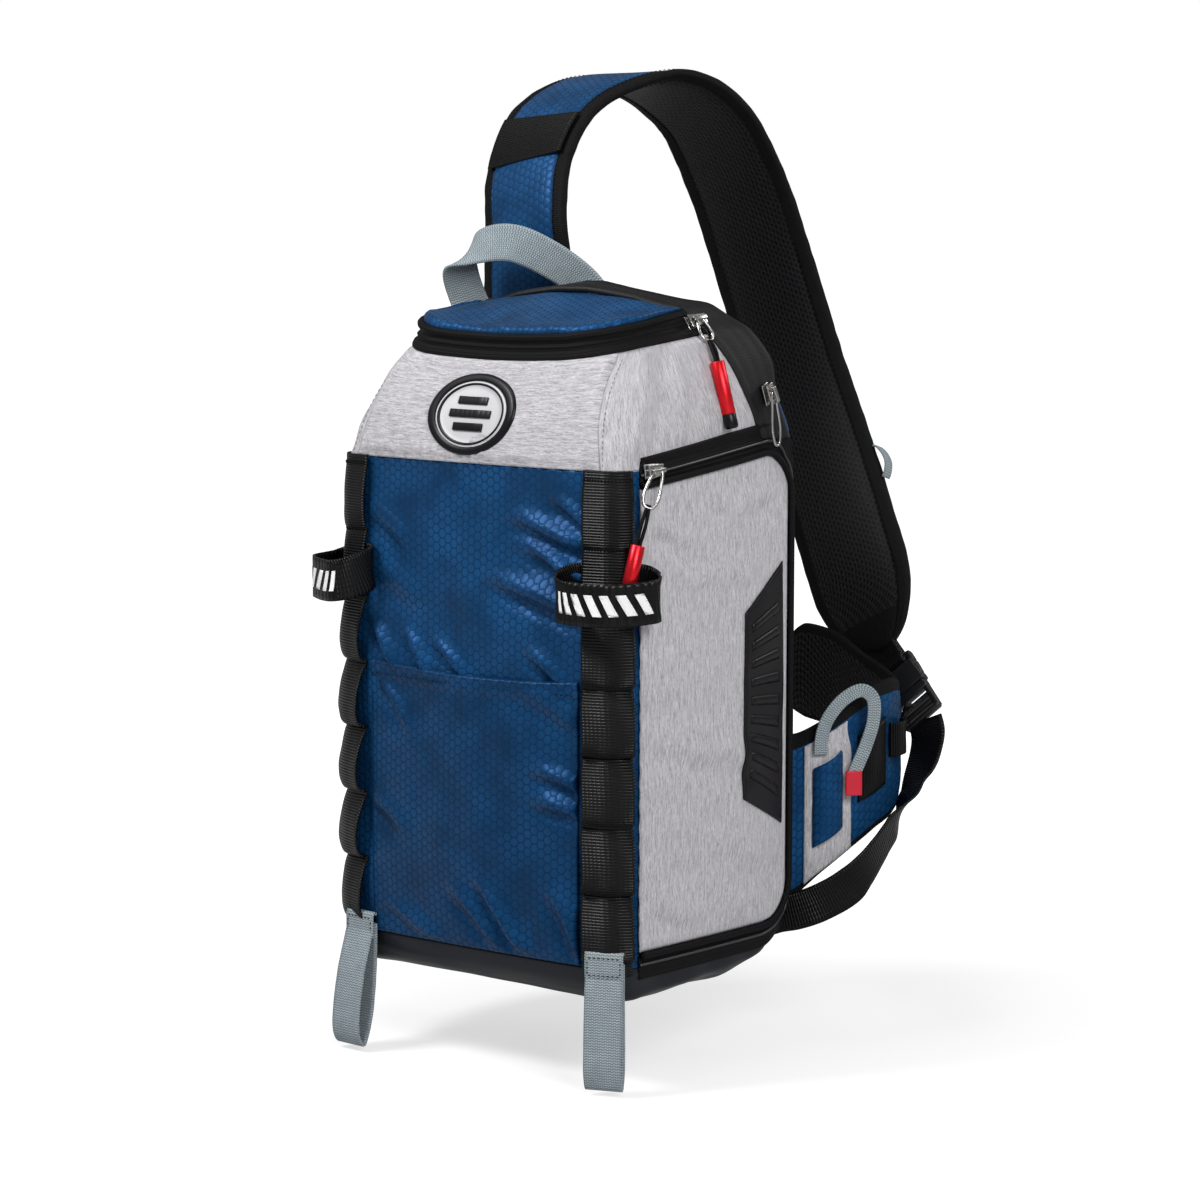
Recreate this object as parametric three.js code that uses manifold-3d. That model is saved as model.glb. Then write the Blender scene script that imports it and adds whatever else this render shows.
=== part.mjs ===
// Single-strap tackle bag, held up by its shoulder strap.
// Millimetres, +Z up, +X to the bag's right as seen from the front, front towards -Y.
// The bag is worked out with its base at z = 0 and moved at the end, so that the origin
// is the underside of the shoulder strap at its highest point.
import * as THREE from 'three';
import { mergeVertices } from 'three/addons/utils/BufferGeometryUtils.js';
import Module from 'manifold-3d';

const wasm = await Module();
wasm.setup();

// Driving dimensions
const HALF_WIDTH = 119;          // bag centre to its side
const FRONT_DEPTH = 90;          // bag centre to the front cloth
const REAR_DEPTH = 96;           // bag centre to the wearer's side
const CORNER = 0.125;            // radius of the upright corners, as a share of HALF_WIDTH
const CLOTH = 2;                 // wall of the bag
const GAP = 0.3;                 // clearance between two pieces
const SEAM_HEIGHT = 333;         // where the navy body meets the grey yoke
const YOKE_HEIGHT = 69;          // from there to the lower edge of the lid's zip belt at the front
const LID_HEIGHT = 40;           // from there to the top of the zip arch
const BELT_HEIGHT = SEAM_HEIGHT + YOKE_HEIGHT;
const BAG_HEIGHT = BELT_HEIGHT + LID_HEIGHT;
const BOOT_HEIGHT = 17;          // where the body meets the coated base
const BELT_WIDTH = 17;           // lid zip belt
const LID_RISE = 0.13;           // how steeply the lid rises towards the rear
const LID_RISE_END = 20;         // depth at which the rise stops
const LID_FRONT = 0.75;          // the lid's front edge, as a share of FRONT_DEPTH
const BELT_SAG = 5;              // droop of the belt between its front corners
const ARCH_WIDTH = 25;           // rear zip band
const ARCH_FOOT = SEAM_HEIGHT + 12;   // height of the arch's lower end
const ARCH_FOOT_DEPTH = 54;      // depth of the arch's front edge at its foot
const ARCH_TOP_DEPTH = 5;        // depth of the arch's front edge at the top
const YOKE_SEAM = [0.87, 0.708, 0.45];   // seam of front and side yoke: foot and top as shares of HALF_WIDTH, depth of FRONT_DEPTH
const CROWN = 5;                 // swell of the front cloth
const SIDE_CROWN = 2.5;          // swell of the side cloth

const DAISY_WIDTH = 38;          // webbing of the two daisy chains
const DAISY_THICK = 1.4;
const DAISY_INNER = 89.5;        // bag centre to the inner edge of a daisy chain
const DAISY_BULGE = 3.6;         // how far each loop stands off
const DAISY_STITCH = 43.5;       // spacing of the bartacks
const DAISY_LAST = 23.5;         // height of the lowest bartack

const POCKET_HEM = 200;          // top of the front slip pocket
const POCKET_CLOTH = 1.5;
const POCKET_SWELL = 3;          // slack of the slip pocket at its hem

const TRAY_FRONT = 4.5;          // side pocket's front edge, from the end of the front corner
const TRAY_LENGTH = 151.5;       // side pocket along the bag's side
const TRAY_BOTTOM = 28;
const TRAY_TOP_FRONT = SEAM_HEIGHT - 12;
const TRAY_TOP_REAR = SEAM_HEIGHT + 4;
const TRAY_CORNER = 28;
const SIDE_CUT = [0.8, 1.3];      // from where to where the side cuts reach, as shares of HALF_WIDTH
const TRAY_CLOTH = 2;
const TRAY_SWELL = 4;            // how far the panel stands out over the tray
const TRAY_ZIP_CLOTH = 1.5;
const PIPING = 4;                // diameter of the side pocket's piping
const TRAY_ZIP = 14;             // black band above and below the side pocket
const TRAY_GUSSET = 7;           // black band behind it
const PATCH_THICK = 1.4;

const PAD_THICK = 9;             // pad on the wearer's side
const PAD_BOTTOM = 48;
const PAD_TOP = BAG_HEIGHT - 50;
const PAD_EDGE = 0.35;           // the pad's thickness at its rim, as a share
const PAD_SPAN = [0.02, 0.98];   // from where to where it is sewn, as shares of the flat back
const BOTTLE_BULGE = 36;         // how far the left pocket stands out
const BOTTLE_TOP = 205;
const BOTTLE_CLOTH = 1.6;
const BOTTLE_TAPER = 0.55;       // the pocket's depth at its foot, as a share of its depth at the top
const BOTTLE_SPAN = [0.04, 0.96]; // from where to where it is sewn, as shares of the flat side

const GREY_WEB = 25;             // grey webbing of handle and base loops
const GREY_THICK = 1.6;
const LOOP_DROP = 62;            // base loops below the base
const LOOP_SWING = 14;           // how far an open loop stands forward
const LOOP_FOOT = 6;             // base loops start this far above the base's seam
const LOOP_STEPS = 20;

const STRAP_WIDTH = 78;
const STRAP_THICK = 12;
const STRAP_X = -80;             // strap's foot, from the bag's centre
const STRAP_Y = 58;
const STRAP_FOOT = BAG_HEIGHT - 12;   // height at which the strap leaves the bag
const STRAP_RISE = 146;          // strap's highest point above its foot
const STRAP_DROP = 252;          // strap's rounded end below its foot
const STRAP_REACH = 206;         // how far behind its foot the strap swings
const STRAP_SHIFT = 176;         // how far to the right its end lies

const BLACK_WEB = 25;            // webbing of the buckle
const BLACK_THICK = 1.6;
const BUCKLE_WIDTH = 34;
const BUCKLE_THICK = 9;

const WING_THICK = 9;
const WING_REACH = 105;          // how far behind the bag the wing swings
const WING_SPREAD = 33;          // how far outside the bag's side it swings
const WING_FOLD = 85;            // how far its end folds in behind the bag
const WING_TOP = 206;            // height of its highest edge
const ELASTIC_THICK = 1.5;
const TOOL_STAND = 4;            // room in the tool pocket
const RING_HEIGHT = 27;          // hook-and-loop rings on the daisy chains
const RING_THICK = 1.8;
const RING_DROP = 0.45;          // how much lower a ring hangs, for each mm that it stands out
const BADGE_SIZE = [37, 28];       // half width and half height of the oval badge
const BADGE_THICK = 2.2;
const TUBE_RADIUS = 4.6;
const TUBE_LENGTH = 36;
const CORD_RADIUS = 1.3;

// Sections of the bag, from the base up.
// Columns: height, front half width, rear half width, front depth, rear depth, corner radius, crown, lid rise.
// Heights up to 1 are shares of SEAM_HEIGHT, and from 1 to 2 of the rise from the seam to the top.
// Widths are shares of HALF_WIDTH, depths of FRONT_DEPTH and REAR_DEPTH, radii of HALF_WIDTH,
// crown of CROWN and SIDE_CROWN, rise of LID_RISE.
const SECTIONS = [
  [-0.0239, 0.84, 0.80, 0.66, 0.26, 0.120, 0.0, 0.0],
  [-0.0133, 0.93, 0.90, 0.84, 0.42, CORNER, 0.0, 0.0],
  [0.0053, 0.975, 0.96, 0.94, 0.58, CORNER, 0.1, 0.0],
  [0.0292, 0.99, 0.98, 0.985, 0.74, CORNER, 0.3, 0.0],
  [0.0511, 0.995, 0.99, 0.99, 0.84, CORNER, 0.5, 0.0],
  [0.0929, 1.00, 1.00, 0.995, 0.95, CORNER, 0.8, 0.0],
  [0.1726, 1.00, 1.00, 1.00, 1.00, CORNER, 1.0, 0.0],
  [1, 1.00, 1.00, 0.99, 0.995, CORNER, 0.9, 0.0],
  [1.2498, 0.935, 1.00, 0.94, 0.99, 0.190, 0.6, 0.3],
  [1.4526, 0.86, 0.985, 0.86, 0.98, 0.240, 0.4, 0.7],
  [1.633, 0.775, 0.90, 0.765, 0.95, 0.290, 0.3, 1.0],
  [1.708, 0.755, 0.79, 0.735, 0.93, 0.300, 0.2, 1.0],
  [1.7891, 0.725, 0.67, 0.70, 0.90, 0.300, 0.1, 1.0],
  [1.8621, 0.62, 0.50, 0.44, 0.82, 0.270, 0.0, 0.6],
  [1.927, 0.44, 0.34, 0.17, 0.68, 0.210, 0.0, 0.3],
  [1.9736, 0.22, 0.20, -0.04, 0.48, 0.120, 0.0, 0.1],
  [2, 0.07, 0.07, -0.14, 0.36, 0.040, 0.0, 0.0],
];

// One loop of a daisy chain: share of the stitch spacing, share of the bulge
const LOOP_PROFILE = [[0, 0], [0.15, 0.9], [0.5, 1], [0.85, 0.9]];

// Hook-and-loop ring in plan. Columns: across from DAISY_INNER in mm, share of its lean, share of its stand-off, mm off the cloth.
const RING_ROWS = [
  [2, 0, 0, 1.9], [12, 0, 0, 1.9], [22, 0, 0, 1.9], [30, 0, 0, 1.9], [37.5, 0, 0, 2.0], [43, 0, 0, 5],
  [46, 1, 0.55, 0], [36, 1, 0.92, 0], [22, 1, 1, 0], [8, 1, 0.97, 0], [-6, 1, 0.75, 0], [-9, 0.4, 0.42, 0], [-4, 0, 0, 4.5],
];
// Columns: name, side, stand-off and lean in mm
const RINGS = [['rod_strap_right', 1, 24, 0], ['rod_strap_left', -1, 26, 8]];
const RING_TACK = 5.5;           // height of the rings in stitch spacings above the lowest bartack

// Base loops. Rows: stand-off as a share of LOOP_SWING, drop as a share of LOOP_DROP.
const RIGHT_LOOP = [[0, 0], [0, 0.3], [-0.05, 0.8], [0, 1.15], [0.22, 1.3], [0.45, 1.18], [0.45, 0.8], [0.3, 0.3], [0.17, 0.08], [0.16, 0]];
const LEFT_LOOP = [[0, 0], [0.03, 0.3], [0.15, 0.7], [0.45, 1.1], [0.85, 1.3], [1.15, 1.2], [1.1, 0.85], [0.75, 0.45], [0.3, 0.12], [0.16, 0]];
// Columns: name, distance round the front from its middle as a share of the flat front, heading in degrees, rows
const BASE_LOOPS = [['base_loop_right', 1.048, 21, RIGHT_LOOP], ['base_loop_left', -0.942, -4, LEFT_LOOP]];

// Grip patch corners: depth from its rear edge as a share of TRAY_LENGTH, height as a share of TRAY_TOP_REAR
const PATCH_CORNERS = [[0, 0.272], [0, 0.787], [0.294, 0.697], [0.309, 0.338]];

// Strap centre line. Columns: shift, reach, rise and drop as shares of the strap's sizes, width direction.
const STRAP_PATH = [
  [0.00, -0.005, 0, 0.10, 1, 0.05, 0],
  [0.00, -0.01, 0, 0, 1, 0.05, 0],
  [-0.03, 0.00, 0.37, 0, 0.99, -0.12, 0],
  [-0.078, 0.068, 0.622, 0, 0.99, -0.12, 0],
  [-0.106, 0.223, 0.869, 0, 1, -0.06, 0],
  [-0.072, 0.422, 0.998, 0, 1, 0, 0],
  [-0.006, 0.592, 1.004, 0, 1, 0.05, 0.05],
  [0.115, 0.762, 0.858, 0, 0.99, 0.1, 0.12],
  [0.16, 0.908, 0.546, 0, 0.97, 0.14, 0.2],
  [0.24, 0.99, 0.11, 0, 0.95, 0.17, 0.25],
  [0.382, 1.005, 0, 0.215, 0.93, 0.18, 0.32],
  [0.593, 0.956, 0, 0.487, 0.9, 0.2, 0.38],
  [0.793, 0.883, 0, 0.725, 0.88, 0.2, 0.42],
  [1.00, 0.796, 0, 0.957, 0.86, 0.2, 0.45],
];
const STRAP_STEPS = 52;
const STRAP_ROUND = 0.93;        // share of the strap's length at which its end starts to round
const KEEPER_BAND = [12, 15];    // strap steps between which the band lies

// Wing in plan from its root. Columns: outwards as a share of WING_SPREAD, or inwards of WING_FOLD if below 0,
// rearwards of WING_REACH, lower and upper edge of WING_TOP.
const WING_PATH = [
  [-0.176, -0.02, 0.165, 0.709],
  [-0.082, 0.055, 0.180, 0.712],
  [0.18, 0.16, 0.252, 0.752],
  [0.515, 0.343, 0.330, 0.815],
  [0.70, 0.514, 0.388, 0.864],
  [0.727, 0.667, 0.422, 0.874],
  [0.515, 0.819, 0.466, 0.859],
  [-0.012, 0.933, 0.544, 0.883],
  [-0.27, 0.981, 0.607, 0.922],
  [-0.576, 1.00, 0.660, 0.985],
  [-0.835, 0.99, 0.680, 1.00],
  [-0.988, 0.981, 0.709, 0.961],
];
const WING_STEPS = 22;
const WING_ROWS = [0, 0.08, 0.3, 0.7, 0.92, 1];   // shares of its height at which the wing's face bends

// Pieces on the wing, as shares along it and of its height
const WING_INSERT = [0.127, 0.264];
const WING_POCKET = [0.155, 0.236, 0.225, 0.735];
const WING_ELASTICS = [
  ['wing_elastic_near', 0.285, 0.395, 0.30, 0.755, 4],
  ['wing_elastic_far', 0.41, 0.49, 0.46, 0.70, 7],
];

// Lanyard loop on the wing. Columns: place along the wing, share of its height, stand-off in mm, width direction.
const LANYARD_PATH = [
  [0.175, 0.80, 1.2, 0.6, 0.8, 0],
  [0.18, 0.92, 2.5, 0.6, 0.8, 0],
  [0.20, 1.05, 6, 0.6, 0.8, 0.1],
  [0.25, 1.12, 10, 0.3, 0.4, 0.8],
  [0.30, 1.02, 12, 0.5, 0.4, -0.6],
  [0.30, 0.86, 11, 0.5, 0.6, -0.2],
  [0.27, 0.70, 9, 0.6, 0.7, 0],
  [0.25, 0.56, 8, 0.6, 0.8, 0],
];
const LANYARD_WIDTH = 11;
const TAG_GAP = 0.025;
const TAG_LENGTH = 0.15;

// Buckle, from the strap's rounded end
const BUCKLE_DIRECTION = [0.72, -0.2, -0.66];
const TAB_START = 5;
const TAB_LENGTH = 14;
const SOCKET_LENGTH = 25;
const PLUG_LENGTH = 24;
const WING_WEB_WIDTH = 20;
const WING_WEB_LIFT = 3.4;       // the webbing's end clear of the buckle, which it meets at a slant
const WING_WEB_WIDE = new THREE.Vector3(0.3, 0.2, 0.9);
const WING_WEB_ANCHOR = [0.56, 0.66];
const BASE_WEB_ANCHOR = [0.866, 0.896, 24];   // shares of HALF_WIDTH and REAR_DEPTH, height

// Lower webbing. Columns: shares of the way from the buckle to its anchor in X, Y and Z, width direction.
const LOWER_WEB_PATH = [
  [0.00, 0.00, 0.00, 0.7, 0.3, 0.7],
  [-0.13, 0.03, 0.08, 0.7, 0.3, 0.5],
  [-0.23, 0.12, 0.21, 0.7, 0.2, 0.35],
  [-0.30, 0.262, 0.345, 0.15, 0.6, 0.75],
  [-0.32, 0.447, 0.54, 0.1, 0.5, 0.85],
  [-0.205, 0.756, 0.80, 0.1, 0.3, 0.95],
  [0.154, 0.878, 0.90, 0.15, 0.1, 0.98],
  [0.564, 0.927, 0.958, 0, 0, 1],
  [0.872, 0.96, 0.983, 0, 0, 1],
  [1.00, 1.00, 1.00, 0, 0, 1],
  [1.10, 1.05, 1.01, 0, 0, 1],
];

// Handle. Columns: shares of HALF_WIDTH and REAR_DEPTH, rise above the bag as a share of HANDLE_RISE, width direction.
const HANDLE_RISE = 28;
const HANDLE_PATH = [
  [-0.12, 0.50, -0.35, 0.7, 0.1, 0.7],
  [-0.20, 0.47, 0.05, 0.6, 0, 0.8],
  [-0.38, 0.36, 0.62, 0.3, 0, 1],
  [-0.58, 0.25, 0.98, 0.1, 0.1, 1],
  [-0.78, 0.18, 0.86, 0.2, 0.3, 1],
  [-0.93, 0.22, 0.30, 0.6, -0.6, 0.5],
  [-0.92, 0.30, -0.45, 0.7, -0.7, 0],
  [-0.84, 0.37, -1.20, 0.7, -0.7, 0],
  [-0.78, 0.39, -1.60, 0.7, -0.7, 0],
];
const STRAP_LOOP_STEP = 44;
const BADGE_X = -5;
const BADGE_HEIGHT = SEAM_HEIGHT + 33;
const SLIDER_SIZE = [11, 7.5, 4];

// Steps round one section: front, each corner, each side, rear
const FRONT_STEPS = 6;
const CORNER_STEPS = 3;
const SIDE_STEPS = 4;
const REAR_STEPS = 4;
const RING_STEPS = 26;
const TRAY_ARC_STEPS = 5;
const BEAD_STEP = 14;            // spacing of the piping's sections

function mix(a, b, t) {
  return a + (b - a) * t;
}

const sectionHeight = ([share]) => (share < 1 ? share * SEAM_HEIGHT : mix(SEAM_HEIGHT, BAG_HEIGHT, share - 1));

function sectionAt(height) {
  const share = height < SEAM_HEIGHT ? height / SEAM_HEIGHT : 1 + (height - SEAM_HEIGHT) / (BAG_HEIGHT - SEAM_HEIGHT);
  let i = 0;
  while (i < SECTIONS.length - 2 && SECTIONS[i + 1][0] < share) i += 1;
  const [low, high] = [SECTIONS[i], SECTIONS[i + 1]];
  const t = THREE.MathUtils.clamp((share - low[0]) / (high[0] - low[0]), 0, 1);
  const row = low.map((value, column) => mix(value, high[column], t));
  return {
    height,
    halfFront: row[1] * HALF_WIDTH,
    halfRear: row[2] * HALF_WIDTH,
    front: -row[3] * FRONT_DEPTH,
    rear: row[4] * REAR_DEPTH,
    radius: row[5] * HALF_WIDTH,
    crown: row[6],
    rise: row[7],
  };
}

// A point on the bag's skin. Stretch names the part of the outline and t runs along it, 0 to 1.
// The outline runs from the left end of the front, round the right side and the rear.
const STRETCHES = ['front', 'corner_fr', 'right', 'corner_rr', 'rear', 'corner_rl', 'left', 'corner_fl'];

function outlinePoint(section, stretch, t, offset) {
  const { halfFront, halfRear, front, rear, radius, crown } = section;
  const r = radius + offset;
  const fx = halfFront - radius;
  const rx = halfRear - radius;
  const fy = front + radius;
  const ry = rear - radius;
  const swell = 4 * t * (1 - t) * crown;
  const turn = (cx, cy, start) => {
    const a = THREE.MathUtils.degToRad(start + 90 * t);
    return [cx + r * Math.cos(a), cy + r * Math.sin(a)];
  };
  if (stretch === 'front') return [mix(-fx, fx, t), fy - r - swell * CROWN];
  if (stretch === 'corner_fr') return turn(fx, fy, -90);
  if (stretch === 'right') return [mix(fx, rx, t) + r + swell * SIDE_CROWN, mix(fy, ry, t)];
  if (stretch === 'corner_rr') return turn(rx, ry, 0);
  if (stretch === 'rear') return [mix(rx, -rx, t), ry + r];
  if (stretch === 'corner_rl') return turn(-rx, ry, 90);
  if (stretch === 'left') return [mix(-rx, -fx, t) - r - swell * SIDE_CROWN, mix(ry, fy, t)];
  return turn(-fx, fy, 180);
}

// The lid rises towards the rear and its belt droops between the front corners
function lifted(section, x, y) {
  const back = Math.min(y, LID_RISE_END) - section.front;
  const across = THREE.MathUtils.clamp(1 - (x / section.halfFront) ** 2, 0, 1);
  const near = THREE.MathUtils.clamp(1 - (y - section.front) / FRONT_DEPTH, 0, 1);
  return section.height + section.rise * (LID_RISE * Math.max(back, 0) - BELT_SAG * across * near * near);
}

function skinPoint(height, stretch, t, offset) {
  const section = sectionAt(height);
  const [x, y] = outlinePoint(section, stretch, t, offset);
  return new THREE.Vector3(x, y, lifted(section, x, y));
}

// Distance along the right side or the front, in millimetres from the end of the front right corner
function sidePoint(height, along, offset) {
  const section = sectionAt(height);
  const length = section.rear - section.front - 2 * section.radius;
  const arc = section.radius * Math.PI / 2;
  if (along <= length) return skinPoint(height, 'right', along / length, offset);
  return skinPoint(height, 'corner_rr', (along - length) / arc, offset);
}

// Distance round the front from its centre; past the flat it turns the corner on to the side
function frontPoint(height, across, offset) {
  const section = sectionAt(height);
  const flat = section.halfFront - section.radius;
  const arc = section.radius * Math.PI / 2;
  const size = Math.abs(across);
  const mirror = (p) => (across < 0 ? new THREE.Vector3(-p.x, p.y, p.z) : p);
  if (size <= flat) return mirror(skinPoint(height, 'front', 0.5 + size / flat / 2, offset));
  if (size <= flat + arc) return mirror(skinPoint(height, 'corner_fr', (size - flat) / arc, offset));
  return mirror(sidePoint(height, size - flat - arc, offset));
}

// Closed bodies
function geometryFrom(points, faces) {
  const geometry = new THREE.BufferGeometry();
  geometry.setAttribute('position', new THREE.Float32BufferAttribute(points.flatMap((p) => [p.x, p.y, p.z]), 3));
  geometry.setIndex(faces.flat());
  return geometry;
}

// Rings of equal count joined in order, closed at both ends by fans.
// Opposite walls are split along the same diagonal, so that a thin twisted band keeps its thickness.
function ringBody(rings, closedLoop = false) {
  const count = rings[0].length;
  const points = rings.flat();
  const faces = [];
  const last = closedLoop ? rings.length : rings.length - 1;
  for (let k = 0; k < last; k += 1) {
    const next = (k + 1) % rings.length;
    for (let i = 0; i < count; i += 1) {
      const j = (i + 1) % count;
      const [a, b, c, d] = [k * count + i, k * count + j, next * count + j, next * count + i];
      if (i < count / 2) faces.push([a, b, c], [a, c, d]);
      else faces.push([a, b, d], [b, c, d]);
    }
  }
  if (!closedLoop) {
    for (const [ring, flip] of [[0, true], [rings.length - 1, false]]) {
      const middle = new THREE.Vector3();
      rings[ring].forEach((p) => middle.add(p));
      points.push(middle.divideScalar(count));
      for (let i = 0; i < count; i += 1) {
        const [a, b] = [ring * count + i, ring * count + (i + 1) % count];
        faces.push(flip ? [points.length - 1, b, a] : [points.length - 1, a, b]);
      }
    }
  }
  const geometry = geometryFrom(points, faces);
  return outward(geometry);
}

// Signed volume tells which way the faces point
function outward(geometry) {
  const p = geometry.getAttribute('position');
  const index = geometry.getIndex().array;
  const [a, b, c] = [new THREE.Vector3(), new THREE.Vector3(), new THREE.Vector3()];
  let volume = 0;
  for (let i = 0; i < index.length; i += 3) {
    a.fromBufferAttribute(p, index[i]);
    b.fromBufferAttribute(p, index[i + 1]);
    c.fromBufferAttribute(p, index[i + 2]);
    volume += a.dot(b.cross(c));
  }
  if (volume > 0) return geometry;
  const turned = Array.from(index);
  for (let i = 0; i < turned.length; i += 3) {
    [turned[i + 1], turned[i + 2]] = [turned[i + 2], turned[i + 1]];
  }
  geometry.setIndex(turned);
  return geometry;
}

function solid(geometry) {
  const bare = geometry.clone();
  bare.deleteAttribute('normal');
  bare.deleteAttribute('uv');
  const merged = mergeVertices(bare, 1e-4);
  return new wasm.Manifold(new wasm.Mesh({
    numProp: 3,
    vertProperties: merged.getAttribute('position').array,
    triVerts: new Uint32Array(merged.getIndex().array),
  }));
}

function geometryOf(body) {
  const mesh = body.getMesh();
  const geometry = new THREE.BufferGeometry();
  geometry.setAttribute('position', new THREE.Float32BufferAttribute(mesh.vertProperties, 3));
  geometry.setIndex(Array.from(mesh.triVerts));
  return geometry;
}

// The bag's whole outline at an offset, as one closed body
function bagBody(offset, lowest = sectionHeight(SECTIONS[0]), extra = []) {
  const heights = SECTIONS.map(sectionHeight).filter((h) => h > lowest);
  const all = [lowest, ...heights, ...extra].sort((a, b) => a - b);
  const steps = { front: FRONT_STEPS, rear: REAR_STEPS, right: SIDE_STEPS, left: SIDE_STEPS };
  const rings = all.map((height) => STRETCHES.flatMap((stretch) => {
    const count = steps[stretch] ?? CORNER_STEPS;
    return Array.from({ length: count }, (_, i) => skinPoint(height, stretch, i / count, offset));
  }));
  const shift = offset > 0 ? offset : 0;
  rings[0].forEach((p) => { p.z -= shift; });
  rings[rings.length - 1].forEach((p) => { p.z += offset; });
  return solid(ringBody(rings));
}

// An outline in the depth-height plane, carried across the bag
function sidePrism(outline, fromX, toX) {
  const rings = [fromX, toX].map((x) => outline.map(([y, z]) => new THREE.Vector3(x, y, z)));
  return prism(rings);
}

// An outline in the width-height plane, carried from front to rear
function frontPrism(outline, fromY, toY) {
  const rings = [fromY, toY].map((y) => outline.map(([x, z]) => new THREE.Vector3(x, y, z)));
  return prism(rings);
}

// Two like outlines joined by a wall, their ends filled by three's own triangulation
function prism(rings) {
  const count = rings[0].length;
  const flat = rings[0].map((p) => (rings[0][0].x === rings[1][0].x ? new THREE.Vector2(p.x, p.z) : new THREE.Vector2(p.y, p.z)));
  const cap = THREE.ShapeUtils.triangulateShape(flat, []);
  const faces = [];
  for (let i = 0; i < count; i += 1) {
    const j = (i + 1) % count;
    faces.push([i, j, count + j], [i, count + j, count + i]);
  }
  const turning = THREE.ShapeUtils.isClockWise(flat) ? 1 : -1;
  cap.forEach(([a, b, c]) => {
    const first = turning > 0 ? [a, b, c] : [a, c, b];
    faces.push(first, first.map((k) => k + count).reverse());
  });
  return solid(fixedWalls(geometryFrom(rings.flat(), faces), count, cap.length));
}

// Turns the walls of a prism to agree with its ends
function fixedWalls(geometry, count, caps) {
  const index = Array.from(geometry.getIndex().array);
  const edges = new Set();
  for (let i = 6 * count; i < index.length; i += 3) {
    for (let k = 0; k < 3; k += 1) edges.add(`${index[i + k]}_${index[i + (k + 1) % 3]}`);
  }
  if (caps > 0 && edges.has('0_1')) {
    for (let i = 0; i < 6 * count; i += 3) [index[i + 1], index[i + 2]] = [index[i + 2], index[i + 1]];
  }
  geometry.setIndex(index);
  return outward(geometry);
}

function boxBody(from, to) {
  const geometry = new THREE.BoxGeometry(to[0] - from[0], to[1] - from[1], to[2] - from[2]);
  geometry.translate((from[0] + to[0]) / 2, (from[1] + to[1]) / 2, (from[2] + to[2]) / 2);
  return solid(geometry);
}

// A slab that follows a surface: point(u, v, offset) over a grid, from one offset to another
function slab(uValues, vValues, point, inner, outer) {
  const columns = uValues.length;
  const rows = vValues.length;
  const layer = (offset) => vValues.flatMap((v) => uValues.map((u) => point(u, v, typeof offset === 'function' ? offset(u, v) : offset)));
  const points = [...layer(inner), ...layer(outer)];
  const at = (i, j, side) => side * columns * rows + j * columns + i;
  const faces = [];
  const quad = (a, b, c, d) => faces.push([a, b, c], [a, c, d]);
  for (let j = 0; j < rows - 1; j += 1) {
    for (let i = 0; i < columns - 1; i += 1) {
      quad(at(i, j, 0), at(i, j + 1, 0), at(i + 1, j + 1, 0), at(i + 1, j, 0));
      quad(at(i, j, 1), at(i + 1, j, 1), at(i + 1, j + 1, 1), at(i, j + 1, 1));
    }
  }
  for (let i = 0; i < columns - 1; i += 1) {
    quad(at(i, 0, 0), at(i + 1, 0, 0), at(i + 1, 0, 1), at(i, 0, 1));
    quad(at(i + 1, rows - 1, 0), at(i, rows - 1, 0), at(i, rows - 1, 1), at(i + 1, rows - 1, 1));
  }
  for (let j = 0; j < rows - 1; j += 1) {
    quad(at(0, j + 1, 0), at(0, j, 0), at(0, j, 1), at(0, j + 1, 1));
    quad(at(columns - 1, j, 0), at(columns - 1, j + 1, 0), at(columns - 1, j + 1, 1), at(columns - 1, j, 1));
  }
  return outward(geometryFrom(points, faces));
}

function steps(from, to, count) {
  return Array.from({ length: count + 1 }, (_, i) => mix(from, to, i / count));
}

// Heights from low to high that meet each of the bag's own sections on the way
function rowsBetween(low, high, spacing) {
  const own = SECTIONS.map(sectionHeight).filter((h) => h > low + 2 && h < high - 2);
  const marks = [low, ...own, high];
  return marks.slice(1).reduce((rows, mark) => {
    const from = rows[rows.length - 1];
    return [...rows, ...steps(from, mark, Math.max(1, Math.round((mark - from) / spacing))).slice(1)];
  }, [low]);
}

// A band of webbing or padding: stations carry a place, a width direction and a scale of the width
function smoothTable(rows, count) {
  const curve = (pick) => new THREE.CatmullRomCurve3(rows.map(pick), false, 'centripetal');
  const path = curve((row) => row.at);
  const facing = new THREE.CatmullRomCurve3(rows.map((row) => row.wide.clone().normalize()), false, 'catmullrom', 0.3);
  return Array.from({ length: count + 1 }, (_, i) => {
    const t = i / count;
    const tangent = path.getTangent(t);
    const wide = facing.getPoint(t);
    wide.addScaledVector(tangent, -wide.dot(tangent)).normalize();
    return { at: path.getPoint(t), wide, normal: new THREE.Vector3().crossVectors(tangent, wide) };
  });
}

// Section outlines as [across, through] pairs in shares of half the width and half the thickness
const FLAT_SECTION = [[-1, -1], [1, -1], [1, 1], [-1, 1]];
const HEXAGON = [0, 60, 120, 180, 240, 300].map((a) => [Math.cos(a * Math.PI / 180), Math.sin(a * Math.PI / 180)]);
const PAD_SECTION = [[-1, -0.35], [-0.86, -1], [0.86, -1], [1, -0.35], [1, 0.35], [0.86, 1], [-0.86, 1], [-1, 0.35]];

function band(stations, width, thick, outline = FLAT_SECTION, closedLoop = false, scale = () => 1) {
  const rings = stations.map(({ at, wide, normal }, k) => {
    const grow = scale(k / (stations.length - 1));
    return outline.map(([a, b]) => at.clone()
      .addScaledVector(wide, a * grow * width / 2)
      .addScaledVector(normal, b * thick / 2));
  });
  return ringBody(rings, closedLoop);
}

const nodes = [];

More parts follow.
